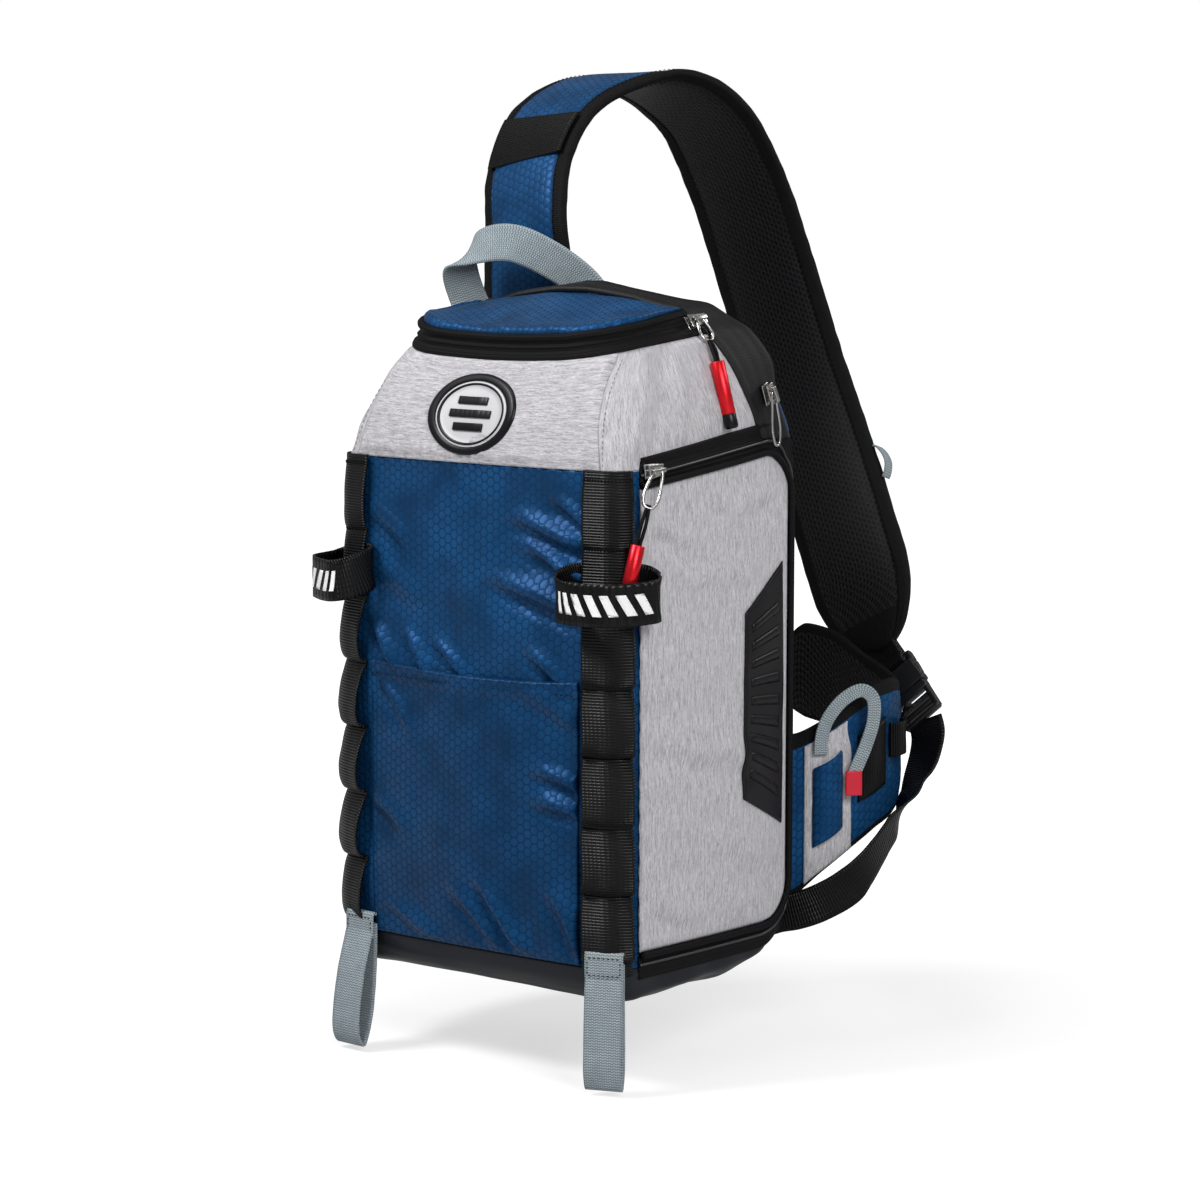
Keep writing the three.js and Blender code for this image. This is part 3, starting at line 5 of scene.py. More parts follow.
import bmesh
import bpy
import numpy as np
from mathutils import Matrix, Vector, noise


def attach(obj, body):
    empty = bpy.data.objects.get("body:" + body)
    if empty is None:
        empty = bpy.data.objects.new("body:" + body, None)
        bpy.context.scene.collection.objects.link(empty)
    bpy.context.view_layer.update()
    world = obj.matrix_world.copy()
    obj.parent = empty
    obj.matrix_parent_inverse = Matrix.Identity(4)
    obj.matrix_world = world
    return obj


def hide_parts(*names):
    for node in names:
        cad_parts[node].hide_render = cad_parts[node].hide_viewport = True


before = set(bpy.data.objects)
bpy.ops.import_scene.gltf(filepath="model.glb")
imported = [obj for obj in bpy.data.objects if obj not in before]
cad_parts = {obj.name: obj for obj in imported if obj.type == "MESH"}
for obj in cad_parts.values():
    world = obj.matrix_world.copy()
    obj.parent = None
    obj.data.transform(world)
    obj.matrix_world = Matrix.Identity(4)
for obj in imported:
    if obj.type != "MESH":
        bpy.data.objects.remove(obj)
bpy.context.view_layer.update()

bl_info = {
    "name": "Sling tackle bag",
    "version": (1, 0, 0),
    "blender": (4, 5, 0),
    "location": "View3D > Sidebar > Sling bag",
    "description": "Builds the cloth, webbing and hardware of a single-strap tackle bag",
    "category": "Object",
}

MM = 0.001
# The bag is worked out in millimetres with its base at z = 0; this is the base's centre in the frame
BASE = Vector((87.670, -162.774, -572.274))

# The bag's sizes, as in the frame's source
HALF_WIDTH, FRONT_DEPTH, REAR_DEPTH = 119.0, 90.0, 96.0
SEAM_HEIGHT, BAG_HEIGHT = 333.0, 442.0
BOOT_HEIGHT, BELT_HEIGHT, BELT_TOP = 17.0, 402.0, 419.0
CORNER = 0.125
CROWN, SIDE_CROWN = 5.0, 2.5
LID_RISE, LID_RISE_END, BELT_SAG = 0.13, 20.0, 5.0
ARCH_FOOT, ARCH_FOOT_DEPTH, ARCH_SLOPE = 345.0, 54.0, -49.0 / 97.0
ARCH_WIDTH = 28.0
DAISY_INNER, DAISY_WIDTH, DAISY_STITCH, DAISY_LAST = 89.5, 38.0, 43.5, 23.5
POCKET_HEM = 200.0
TRAY_FRONT, TRAY_LENGTH, TRAY_CORNER = 4.5, 151.5, 28.0
TRAY_BOTTOM, TRAY_TOP_FRONT, TRAY_TOP_REAR = 28.0, 321.0, 337.0
TUBE_LENGTH = 36.0

# Sections from the base up: height share, front and rear half width, front and rear depth,
# corner radius, crown, lid rise
SECTIONS = (
    (-0.0239, 0.84, 0.80, 0.66, 0.26, 0.120, 0.0, 0.0),
    (-0.0133, 0.93, 0.90, 0.84, 0.42, CORNER, 0.0, 0.0),
    (0.0053, 0.975, 0.96, 0.94, 0.58, CORNER, 0.1, 0.0),
    (0.0292, 0.99, 0.98, 0.985, 0.74, CORNER, 0.3, 0.0),
    (0.0511, 0.995, 0.99, 0.99, 0.84, CORNER, 0.5, 0.0),
    (0.0929, 1.00, 1.00, 0.995, 0.95, CORNER, 0.8, 0.0),
    (0.1726, 1.00, 1.00, 1.00, 1.00, CORNER, 1.0, 0.0),
    (1.0, 1.00, 1.00, 0.99, 0.995, CORNER, 0.9, 0.0),
    (1.2498, 0.935, 1.00, 0.94, 0.99, 0.190, 0.6, 0.3),
    (1.4526, 0.86, 0.985, 0.86, 0.98, 0.240, 0.4, 0.7),
    (1.633, 0.775, 0.90, 0.765, 0.95, 0.290, 0.3, 1.0),
    (1.708, 0.755, 0.79, 0.735, 0.93, 0.300, 0.2, 1.0),
    (1.7891, 0.725, 0.67, 0.70, 0.90, 0.300, 0.1, 1.0),
    (1.8621, 0.62, 0.50, 0.44, 0.82, 0.270, 0.0, 0.6),
    (1.927, 0.44, 0.34, 0.17, 0.68, 0.210, 0.0, 0.3),
    (1.9736, 0.22, 0.20, -0.04, 0.48, 0.120, 0.0, 0.1),
    (2.0, 0.07, 0.07, -0.14, 0.36, 0.040, 0.0, 0.0),
)
# The outline runs over front, corner, right, corner, rear, corner, left, corner
STRETCHES = 8
TABLE_STEP = 0.25
# A point well inside the bag: cloth turns its face away from it
BAG_MIDDLE = Vector((0, 0, 220))


def mix(a, b, t):
    return a + (b - a) * t


def clamp(value, low=0.0, high=1.0):
    return max(low, min(high, value))


def ease(low, high, value):
    """0 up to low, 1 from high on, and a smooth rise between."""
    t = clamp((value - low) / (high - low))
    return t * t * (3 - 2 * t)


def bump(value, centre, width):
    """A smooth hill of height 1."""
    return math.exp(-((value - centre) / width) ** 2)


def cubic_column(at, xs, ys):
    """A column of a table, eased between its rows without overshoot."""
    wide = np.diff(xs)
    slopes = np.diff(ys) / wide
    ends = np.zeros(len(xs))
    both = slopes[1:] * slopes[:-1]
    ends[1:-1] = np.where(both > 0, 2 * both / (slopes[1:] + slopes[:-1] + 1e-12), 0)
    ends[0], ends[-1] = slopes[0], slopes[-1]
    k = np.clip(np.searchsorted(xs, at) - 1, 0, len(wide) - 1)
    t = (at - xs[k]) / wide[k]
    return ((2 * t ** 3 - 3 * t ** 2 + 1) * ys[k] + (t ** 3 - 2 * t ** 2 + t) * wide[k] * ends[k]
            + (3 * t ** 2 - 2 * t ** 3) * ys[k + 1] + (t ** 3 - t ** 2) * wide[k] * ends[k + 1])


def dense_sections():
    """The section table at every quarter millimetre, with a crease at the yoke's seam."""
    rows = np.array(SECTIONS)
    heights = np.where(rows[:, 0] <= 1, rows[:, 0] * SEAM_HEIGHT, SEAM_HEIGHT
            + (rows[:, 0] - 1) * (BAG_HEIGHT - SEAM_HEIGHT))
    scales = (HALF_WIDTH, HALF_WIDTH, -FRONT_DEPTH, REAR_DEPTH, HALF_WIDTH, 1, 1)
    at = np.arange(heights[0], BAG_HEIGHT + TABLE_STEP, TABLE_STEP)
    low = at <= SEAM_HEIGHT
    out = np.zeros((len(at), 7))
    for column, scale in enumerate(scales):
        ys = rows[:, column + 1] * scale
        out[low, column] = cubic_column(at[low], heights[:8], ys[:8])
        out[~low, column] = cubic_column(at[~low], heights[7:], ys[7:])
    return heights[0], [tuple(row) for row in out.tolist()]


LOWEST, DENSE = dense_sections()


def section_at(height):
    place = clamp((height - LOWEST) / TABLE_STEP, 0, len(DENSE) - 1.001)
    k = int(place)
    t = place - k
    low, high = DENSE[k], DENSE[k + 1]
    return tuple(a + (b - a) * t for a, b in zip(low, high))


def skin(height, w, offset=0.0):
    """A point on the bag's skin: w's whole part names a stretch of the outline, its rest runs along it."""
    half_front, half_rear, front, rear, radius, crown, rise = section_at(height)
    w %= STRETCHES
    stretch = int(w)
    t = w - stretch
    r = radius + offset
    fx, rx, fy, ry = half_front - radius, half_rear - radius, front + radius, rear - radius
    swell = 4 * t * (1 - t) * crown
    if stretch == 0:
        x, y = mix(-fx, fx, t), fy - r - swell * CROWN
    elif stretch == 2:
        x, y = mix(fx, rx, t) + r + swell * SIDE_CROWN, mix(fy, ry, t)
    elif stretch == 4:
        x, y = mix(rx, -rx, t), ry + r
    elif stretch == 6:
        x, y = mix(-rx, -fx, t) - r - swell * SIDE_CROWN, mix(ry, fy, t)
    else:
        cx, cy, start = {1: (fx, fy, -90), 3: (rx, ry, 0), 5: (-rx, ry, 90), 7: (-fx, fy, 180)}[stretch]
        a = math.radians(start + 90 * t)
        x, y = cx + r * math.cos(a), cy + r * math.sin(a)
    back = min(y, LID_RISE_END) - front
    across = clamp(1 - (x / half_front) ** 2)
    near = clamp(1 - (y - front) / FRONT_DEPTH)
    return Vector((x, y, height + rise * (LID_RISE * max(back, 0) - BELT_SAG * across * near * near)))


def round_to_w(height, across):
    """The outline's place at a distance round the front from its centre, on past the corner."""
    half_front, _, front, rear, radius, _, _ = section_at(height)
    flat, arc, side = half_front - radius, radius * math.pi / 2, rear - front - 2 * radius
    size = abs(across)
    if size <= flat:
        w = 0.5 + size / flat / 2
    elif size <= flat + arc:
        w = 1 + (size - flat) / arc
    elif size <= flat + arc + side:
        w = 2 + (size - flat - arc) / side
    else:
        w = 3 + min((size - flat - arc - side) / arc, 0.999)
    return w if across >= 0 else 1 - w


def front_point(height, across, offset=0.0):
    return skin(height, round_to_w(height, across), offset)


def side_point(height, along, offset=0.0):
    half_front, _, _, _, radius, _, _ = section_at(height)
    return front_point(height, half_front - radius + radius * math.pi / 2 + along, offset)


def solved(fn, low, high, steps=26):
    """Where fn passes from below to above zero."""
    for _ in range(steps):
        middle = (low + high) / 2
        if fn(middle) < 0:
            low = middle
        else:
            high = middle
    return (low + high) / 2


def arch_edge(height, shift=0.0):
    return ARCH_FOOT_DEPTH + ARCH_SLOPE * (height - ARCH_FOOT) + shift


def before_arch(height, w, shift=0.0):
    p = skin(height, w)
    return p.y - arch_edge(p.z, shift)


class Curve:
    """A Catmull-Rom curve through points: centripetal, or even with a tension."""

    def __init__(self, points, tension=None, closed=False):
        self.points, self.tension, self.closed = [Vector(p) for p in points], tension, closed

    def point(self, t):
        pts, n = self.points, len(self.points)
        spot = (n if self.closed else n - 1) * t
        k = math.floor(spot)
        weight = spot - k
        if not self.closed and k >= n - 1:
            k, weight = n - 2, 1.0
        p1, p2 = pts[k % n], pts[(k + 1) % n]
        p0 = pts[(k - 1) % n] if self.closed or k > 0 else 2 * pts[0] - pts[1]
        p3 = pts[(k + 2) % n] if self.closed or k + 2 < n else 2 * pts[-1] - pts[-2]
        if self.tension is not None:
            t1, t2 = self.tension * (p2 - p0), self.tension * (p3 - p1)
        else:
            d0, d1, d2 = ((b - a).length_squared ** 0.25 for a, b in ((p0, p1), (p1, p2), (p2, p3)))
            d1 = d1 if d1 > 1e-4 else 1.0
            d0, d2 = (d if d > 1e-4 else d1 for d in (d0, d2))
            t1 = ((p1 - p0) / d0 - (p2 - p0) / (d0 + d1) + (p2 - p1) / d1) * d1
            t2 = ((p2 - p1) / d1 - (p3 - p1) / (d1 + d2) + (p3 - p2) / d2) * d1
        c2 = -3 * p1 + 3 * p2 - 2 * t1 - t2
        c3 = 2 * p1 - 2 * p2 + t1 + t2
        return p1 + weight * (t1 + weight * (c2 + weight * c3))

    def tangent(self, t):
        low, high = t - 1e-4, t + 1e-4
        if not self.closed:
            low, high = max(low, 0.0), min(high, 1.0)
        else:
            low, high = low % 1.0, high % 1.0
        return (self.point(high) - self.point(low)).normalized()


def stations(rows, count):
    """Places, width directions and normals along a table of (place, width direction)."""
    path = Curve([at for at, _ in rows])
    facing = Curve([Vector(wide).normalized() for _, wide in rows], 0.3)
    out = []
    for i in range(count + 1):
        t = i / count
        tangent, wide = path.tangent(t), facing.point(t)
        wide = (wide - tangent * wide.dot(tangent)).normalized()
        out.append((path.point(t), wide, tangent.cross(wide)))
    return out


def even(rows, spacing):
    """Stations resampled at an even spacing along their path."""
    dense = stations(rows, 400)
    length = np.cumsum([0.0] + [(b[0] - a[0]).length for a, b in zip(dense, dense[1:])])
    count = max(4, round(length[-1] / spacing))
    out = []
    for want in np.linspace(0, length[-1], count + 1):
        k = min(int(np.searchsorted(length, want, side="right")) - 1, len(dense) - 2)
        k = max(k, 0)
        t = (want - length[k]) / max(length[k + 1] - length[k], 1e-9)
        (p, a, n), (q, b, m) = dense[k], dense[k + 1]
        out.append((p.lerp(q, t), a.lerp(b, t).normalized(), n.lerp(m, t).normalized()))
    return out


def ripple(point, size, seed=0.0):
    """Smooth noise of about -1 to 1 whose waves are about size millimetres long."""
    return noise.noise(Vector((point[0] / size + seed, point[1] / size - seed, point[2] / size + 2 * seed)))


# Colours, materials


def linear(code):
    """An sRGB hex colour as linear RGBA."""
    parts = [int(code[i:i + 2], 16) / 255 for i in (1, 3, 5)]
    return tuple(c / 12.92 if c <= 0.04045 else ((c + 0.055) / 1.055) ** 2.4 for c in parts) + (1.0,)


def wire(tree, kind, *values, named=None, **settings):
    """Adds one node, sets it up, and sets or links its inputs."""
    made = tree.nodes.new("ShaderNode" + kind)
    for key, value in settings.items():
        setattr(made, key, value)
    for key, value in list(enumerate(values)) + list((named or {}).items()):
        if value is None:
            continue
        if isinstance(value, bpy.types.Node):
            value = value.outputs[0]
        if isinstance(value, bpy.types.NodeSocket):
            tree.links.new(value, made.inputs[key])
        else:
            made.inputs[key].default_value = value
    return made


def started(name):
    """A new material with its shader and output, ready to be wired."""
    material = bpy.data.materials.new(name)
    material.use_nodes = True
    tree = material.node_tree
    tree.nodes.clear()
    add = partial(wire, tree)
    shader = add("BsdfPrincipled")
    add("OutputMaterial", shader)
    return material, tree, add, shader


def settle(shader, **sockets):
    """Sets sockets of a shader by name, with underscores for spaces."""
    for key, value in sockets.items():
        shader.inputs[key.replace("_", " ")].default_value = value


def hex_distance(add, place, across, up):
    """Distance to the nearest cell centre of a flat-topped honeycomb, 1 at the cell's edge."""
    found = []
    for shift in (0.0, 0.5):
        moved = add("VectorMath", place, (across * shift, up * shift, 0), operation="ADD")
        cell = add("VectorMath", moved, (across / 2, up / 2, 1), (-across / 2, -up / 2, -1),
                operation="WRAP")
        near = add("SeparateXYZ", add("VectorMath", cell, operation="ABSOLUTE"))
        half = add("Math", near.outputs[1], 0.5, operation="MULTIPLY")
        slant = add("Math", near.outputs[0], 0.866, half, operation="MULTIPLY_ADD")
        found.append(add("Math", near.outputs[1], slant, operation="MAXIMUM"))
    nearest = add("Math", *found, operation="MINIMUM")
    return add("Math", nearest, up / 2, operation="DIVIDE")


def shade_of(colour, share):
    """A colour made darker, or lighter with a share above 1."""
    return tuple(min(c * share, 1.0) for c in colour[:3]) + (1.0,)


def feed(tree, shader, **sources):
    """Links nodes to the shader's sockets, with underscores for spaces."""
    for key, source in sources.items():
        tree.links.new(source.outputs[0], shader.inputs[key.replace("_", " ")])


def ripstop_nylon(name, colour, cell):
    """Diamond ripstop nylon: smooth filament cloth with a soft shine, quilted by a honeycomb of yarn."""
    material, tree, add, shader = started(name)
    place = add("UVMap", uv_map="UVMap")
    edge = hex_distance(add, place, cell * 1.732, cell)
    line = add("MapRange", edge, 0.74, 0.97, 0.0, 1.0, interpolation_type="SMOOTHSTEP")
    threads = add("TexNoise", place, named={"Scale": 2.6, "Detail": 2.0, "Roughness": 0.6})
    # Painted sheen and painted shade: broad random patches lighter and darker than the cloth, standing in
    # for the shine and shade of its folds
    painted_sheen_and_shade = add("TexNoise", place, named={"Scale": 0.024, "Detail": 4.0, "Roughness": 0.6})
    tone = add("MixRGB", add("MapRange", painted_sheen_and_shade, 0.36, 0.64), shade_of(colour, 0.6), shade_of(colour, 1.4))
    weave = add("MixRGB", add("MapRange", threads, 0.3, 0.7, 0.0, 0.4), tone, shade_of(colour, 0.4))
    final = add("MixRGB", line, weave, shade_of(colour, 0.42))
    dome = add("Math", edge, 2.0, operation="POWER")
    height = add("Math", threads, 0.10, add("Math", dome, -0.6, operation="MULTIPLY"),
            operation="MULTIPLY_ADD")
    relief = add("Bump", 0.42, MM * 0.9, named={"Height": height})
    feed(tree, shader, Base_Color=final, Roughness=add("MapRange", line, 0.0, 1.0, 0.4, 0.6), Normal=relief)
    settle(shader, IOR=1.53, Specular_IOR_Level=0.5, Specular_Tint=(0.10, 0.36, 1.0, 1.0))
    return material


def melange_polyester(name, colour, streak):
    """Melange polyester: matt two-tone yarns that streak along the cloth's grain."""
    material, tree, add, shader = started(name)
    place = add("UVMap", uv_map="UVMap")
    found = []
    # Long slubs, short ones, and single yarns
    for long, thick, low, high in ((streak, 0.7, 0.36, 0.64), (streak * 0.4, 0.45, 0.35, 0.65),
            (streak * 2.5, 1.6, 0.4, 0.6)):
        stretched = add("VectorMath", place, (1 / long, 1 / thick, 1), operation="MULTIPLY")
        slub = add("TexNoise", stretched, named={"Scale": 1.0, "Detail": 2.0, "Roughness": 0.6})
        found.append(add("MapRange", slub, low, high, 0.0, 1.0))
    fine = add("Math", add("Math", found[0], found[1], operation="ADD"), 0.38, operation="MULTIPLY")
    share = add("Math", found[2], 0.28, fine, operation="MULTIPLY_ADD")
    tone = add("MixRGB", share, shade_of(colour, 0.5), shade_of(colour, 1.46))
    ribs = add("TexWave", place, named={"Scale": 0.55, "Distortion": 0.8, "Detail": 1.0},
            bands_direction="Y")
    height = add("Math", share, 0.7, add("Math", ribs, 0.3, operation="MULTIPLY"), operation="MULTIPLY_ADD")
    relief = add("Bump", 0.5, MM * 0.4, named={"Height": height})
    feed(tree, shader, Base_Color=tone, Normal=relief)
    settle(shader, IOR=1.5, Roughness=0.85, Specular_IOR_Level=0.3, Sheen_Weight=0.1, Sheen_Roughness=0.5)
    return material


def woven_tape(name, colour, rib, across, rough, depth=0.3, shine=0.11, short=0.4):
    """Woven tape or webbing: ribs of weft across it, each a row of short yarns."""
    material, tree, add, shader = started(name)
    place = add("UVMap", uv_map="UVMap")
    parts = add("SeparateXYZ", place)
    up = add("Math", parts.outputs[1], math.pi / rib, operation="MULTIPLY")
    side = add("Math", parts.outputs[0], math.pi / across, operation="MULTIPLY")
    swing = add("Math", add("Math", side, operation="SINE"), short * 1.1, operation="MULTIPLY")
    row = add("Math", add("Math", add("Math", up, swing, operation="ADD"), operation="SINE"),
            operation="ABSOLUTE")
    yarn = add("Math", add("Math", side, operation="SINE"), operation="ABSOLUTE")
    weave = add("Math", row, yarn, operation="MULTIPLY")
    weave = add("Math", weave, short, add("Math", row, 1 - short, operation="MULTIPLY"),
            operation="MULTIPLY_ADD")
    # Uneven yarn and a little wear
    wear = add("TexNoise", place, named={"Scale": 0.09, "Detail": 4.0, "Roughness": 0.7})
    worn = add("MixRGB", wear, shade_of(colour, 0.8), shade_of(colour, 1.5))
    tone = add("MixRGB", weave, shade_of(colour, 0.35), worn)
    relief = add("Bump", 0.8, MM * depth, named={"Height": weave})
    feed(tree, shader, Base_Color=tone, Normal=relief)
    settle(shader, IOR=1.5, Roughness=rough, Specular_IOR_Level=shine)
    return material


def spacer_mesh(name, colour, hole):
    """Spacer mesh: a knitted net with rows of slanted holes over its backing, painted near black as the
    shade inside the holes.
    """
    material, tree, add, shader = started(name)
    place = add("UVMap", uv_map="UVMap")
    turned = add("Mapping", place, named={"Scale": (1.0, 0.72, 1.0)})
    edge = hex_distance(add, turned, hole * 1.732, hole)
    net = add("MapRange", edge, 0.50, 0.80, 0.0, 1.0, interpolation_type="SMOOTHSTEP")
    yarn = add("TexNoise", place, named={"Scale": 3.0, "Detail": 2.0})
    # The holes: the backing's own black, darkened further as painted shade
    tone = add("MixRGB", net, shade_of(colour, 0.1),
            add("MixRGB", yarn, shade_of(colour, 1.2), shade_of(colour, 3.2)))
    relief = add("Bump", 1.0, MM * 1.2, named={"Height": net})
    feed(tree, shader, Base_Color=tone, Normal=relief)
    settle(shader, IOR=1.5, Roughness=0.5, Specular_IOR_Level=0.22)
    return material


def grained(name, colour, rough, grain, depth, **sockets):
    """A moulded, cast or coated surface: one colour with slight wear, and a fine grain in its relief."""
    material, tree, add, shader = started(name)
    place = add("TexCoord").outputs["Object"]
    fine = add("TexNoise", place, named={"Scale": 1 / (grain * MM), "Detail": 3.0})
    broad = add("TexNoise", place, named={"Scale": 25.0, "Detail": 3.0})
    tone = add("MixRGB", broad, shade_of(colour, 0.9), shade_of(colour, 1.25))
    span = add("MapRange", broad, 0.3, 0.7, rough * 0.85, rough * 1.15)
    relief = add("Bump", 0.5, MM * depth, named={"Height": fine})
    feed(tree, shader, Base_Color=tone, Roughness=span, Normal=relief)
    settle(shader, **sockets)
    return material


MATERIALS = {}


def make_materials(colours, weave):
    """Makes every finish of the bag once."""
    navy, grey, black = (tuple(c) for c in (colours.navy, colours.grey, colours.black))
    MATERIALS.update({
        "navy": ripstop_nylon("Honeycomb ripstop nylon", navy, weave.cell),
        # The same cloth, darkened as painted shade for the lower front, which lies in less light
        "pocket": ripstop_nylon("Honeycomb nylon darkened as painted shade", shade_of(navy, 0.76), weave.cell),
        # Dull staple yarns of light and dark grey, so it looks streaked and dry
        "grey": melange_polyester("Melange polyester", grey, weave.streak),
        # Plain polyester cloth: a fine even weave, drawn a little coarser than real so that it shows
        "black": woven_tape("Plain black polyester", shade_of(black, 1.3), 1.1, 1.1, 0.5, 0.2, 0.3),
        # Zip tape is woven with long ribs along its edge
        "tape": woven_tape("Zip tape", black, 1.6, 0.9, 0.55, 0.3),
        # Polypropylene: coarse ribs across the webbing, with a waxy shine
        "webbing": woven_tape("Polypropylene webbing", shade_of(black, 0.7), 2.0, 1.6, 0.34, 0.6, 0.2,
                0.08),
        # Grosgrain: fine ribs across the edge, dull
        "binding": woven_tape("Grosgrain binding", black, 1.3, 1.3, 0.6, 0.3),
        # Bonded thread: smooth filament with a slight shine
        "thread": woven_tape("Bonded nylon thread", black, 0.5, 0.5, 0.4, 0.1),
        # Soft polyester webbing: a plain herringbone of pale yarn, dry to the eye
        "grey_webbing": woven_tape("Grey polyester webbing", tuple(colours.webbing), 1.7, 1.5, 0.6, 0.4,
                0.11, 0.5),
        # Its thread: fine and dull
        "grey_thread": woven_tape("Grey polyester thread", tuple(colours.webbing), 0.5, 0.5, 0.5, 0.1),
        # Tarpaulin: a vinyl coat over cloth, with a soft broken shine
        "coated": grained("Coated tarpaulin", linear("#14161d"), 0.36, 0.7, 0.12, IOR=1.54,
                Specular_IOR_Level=0.22),
        # Knitted spacer mesh: a springy net whose holes are painted near black as shade
        "mesh": spacer_mesh("Spacer mesh", black, weave.hole),
        # Silicone rubber: smooth, dark, with a dull shine
        "rubber": grained("Silicone rubber", linear("#0d0d10"), 0.36, 0.5, 0.05, IOR=1.43,
                Specular_IOR_Level=0.3),
        # The same rubber dyed grey, white and red: even colours without a weave
        "window": grained("Grey silicone rubber", linear("#b9b8bb"), 0.5, 0.5, 0.05, IOR=1.43),
        "print": grained("White rubber print", linear("#eceaea"), 0.55, 0.6, 0.05, IOR=1.43),
        "tag": grained("Red rubber tag", linear("#c3182f"), 0.45, 0.5, 0.05, IOR=1.43),
        # Acetal: slightly waxy moulded plastic with a spark-eroded grain
        "plastic": grained("Moulded acetal", linear("#141416"), 0.36, 0.35, 0.06, IOR=1.48),
        # Nickel-plated zinc: bright, greyed by handling
        "metal": grained("Nickel-plated zinc", linear("#a9a8a6"), 0.26, 0.4, 0.006, Metallic=1.0),
        # Drawn nylon: a smooth dark bead with a narrow shine
        "coil": grained("Nylon zip coil", linear("#26262a"), 0.3, 0.3, 0.03, IOR=1.53),
        # Anodised aluminium: dyed oxide over bright metal
        "red": grained("Red anodised aluminium", linear("#e0202a"), 0.34, 0.4, 0.02, Metallic=0.8),
        # Pale thread that nearly vanishes in the grey cloth
        "yoke_thread": woven_tape("Pale polyester thread", shade_of(grey, 0.8), 0.5, 0.5, 0.7, 0.1),
        # Braided cord: a sleeve of fine filament
        "cord": woven_tape("Braided cord", black, 1.2, 1.2, 0.5, 0.3),
    })


# Making of meshes


def finished(bm, name, finishes, replaces=(), wall=0.0, middle=-1.0, merge=0.02):
    """Turns a bmesh in bag millimetres into a piece that rides on the root."""
    bmesh.ops.remove_doubles(bm, verts=bm.verts, dist=merge)
    for face in bm.faces:
        face.smooth = True
    for vert in bm.verts:
        vert.co = (vert.co + BASE) * MM
    mesh = bpy.data.meshes.new(name)
    bm.to_mesh(mesh)
    bm.free()
    piece = bpy.data.objects.new(name, mesh)
    bpy.context.scene.collection.objects.link(piece)
    for finish in finishes:
        mesh.materials.append(MATERIALS[finish])
    if wall:
        made = piece.modifiers.new("Wall", "SOLIDIFY")
        made.thickness, made.offset = wall * MM, middle
    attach(piece, "root")
    if replaces:
        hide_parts(*replaces)
    return piece


def circle(radius, sides):
    """Points round a circle."""
    turns = [2 * math.pi * i / sides for i in range(sides)]
    return [(radius * math.cos(a), radius * math.sin(a)) for a in turns]


def gather(into, part):
    """Adds one bmesh to another."""
    holder = bpy.data.meshes.new("part")
    part.to_mesh(holder)
    part.free()
    into.from_mesh(holder)
    bpy.data.meshes.remove(holder)


def flat_grid(columns, rows):
    """A flat grid, and the column and row of each of its corners."""
    bm = bmesh.new()
    bmesh.ops.create_grid(bm, x_segments=columns, y_segments=rows, size=1.0)
    span = max(v.co.x for v in bm.verts)
    spots = {}
    for vert in bm.verts:
        s, t = (vert.co.x / span + 1) / 2, (vert.co.y / span + 1) / 2
        spots[vert.index] = (round(s * columns), round(t * rows))
    return bm, spots


def painted(face, spots, columns, rows, paint):
    """Gives a face the finish that paint names at its middle."""
    corners = [spots[v.index] for v in face.verts]
    s = sum(i for i, _ in corners) / columns / len(corners)
    t = sum(j for _, j in corners) / rows / len(corners)
    face.material_index = paint(s, t)


def cloth(name, place, columns, rows, finish, wall=1.2, lift=None, uv=None, loop=False, out=BAG_MIDDLE,
          replaces=(), paint=None, middle=-1.0):
    """A sheet of cloth from a flat grid: place(s, t) puts it, lift(s, t, point) swells it along its normals.

    s and t run from 0 to 1. The cloth's own map is in millimetres along it, unless uv(s, t, point) gives it.
    """
    bm, spots = flat_grid(columns, rows)
    grid = np.zeros((rows + 1, columns + 1, 3))
    for vert in bm.verts:
        i, j = spots[vert.index]
        vert.co = place(i / columns, j / rows)
        grid[j, i] = vert.co
    bm.normal_update()
    middle_spot = bm.faces[:][len(bm.faces) // 2 + columns // 2]
    if (middle_spot.calc_center_median() - out).dot(middle_spot.normal) <= 0:
        bmesh.ops.reverse_faces(bm, faces=bm.faces)
        bm.normal_update()
    if loop:
        # The two ends of a loop share their normals, so that they meet after the lift
        ends = {}
        for vert in bm.verts:
            i, j = spots[vert.index]
            if i in (0, columns):
                ends.setdefault(j, []).append(vert)
        shared = {v.index: (pair[0].normal + pair[-1].normal).normalized() for pair in ends.values()
                for v in pair}
    else:
        shared = {}
    if lift:
        moved = []
        for vert in bm.verts:
            i, j = spots[vert.index]
            normal = shared.get(vert.index) or vert.normal
            moved.append(vert.co + normal * lift(i / columns, j / rows, vert.co))
        for vert, to in zip(bm.verts, moved):
            vert.co = to
    if uv is None:
        along = np.zeros((rows + 1, columns + 1))
        up = np.zeros((rows + 1, columns + 1))
        along[:, 1:] = np.cumsum(np.linalg.norm(np.diff(grid, axis=1), axis=2), axis=1)
        along -= along[:, columns // 2][:, None]
        up[1:] = np.cumsum(np.linalg.norm(np.diff(grid, axis=0), axis=2), axis=0)
        up = np.repeat(up[:, columns // 2][:, None], columns + 1, axis=1)
    layer = bm.loops.layers.uv.new("UVMap")
    for face in bm.faces:
        for corner in face.loops:
            i, j = spots[corner.vert.index]
            if uv is None:
                corner[layer].uv = (along[j, i], up[j, i])
            else:
                corner[layer].uv = uv(i / columns, j / rows, corner.vert.co)
        if paint:
            painted(face, spots, columns, rows, paint)
    finishes = (finish,) if isinstance(finish, str) else finish
    return finished(bm, name, finishes, replaces, wall, middle=middle)


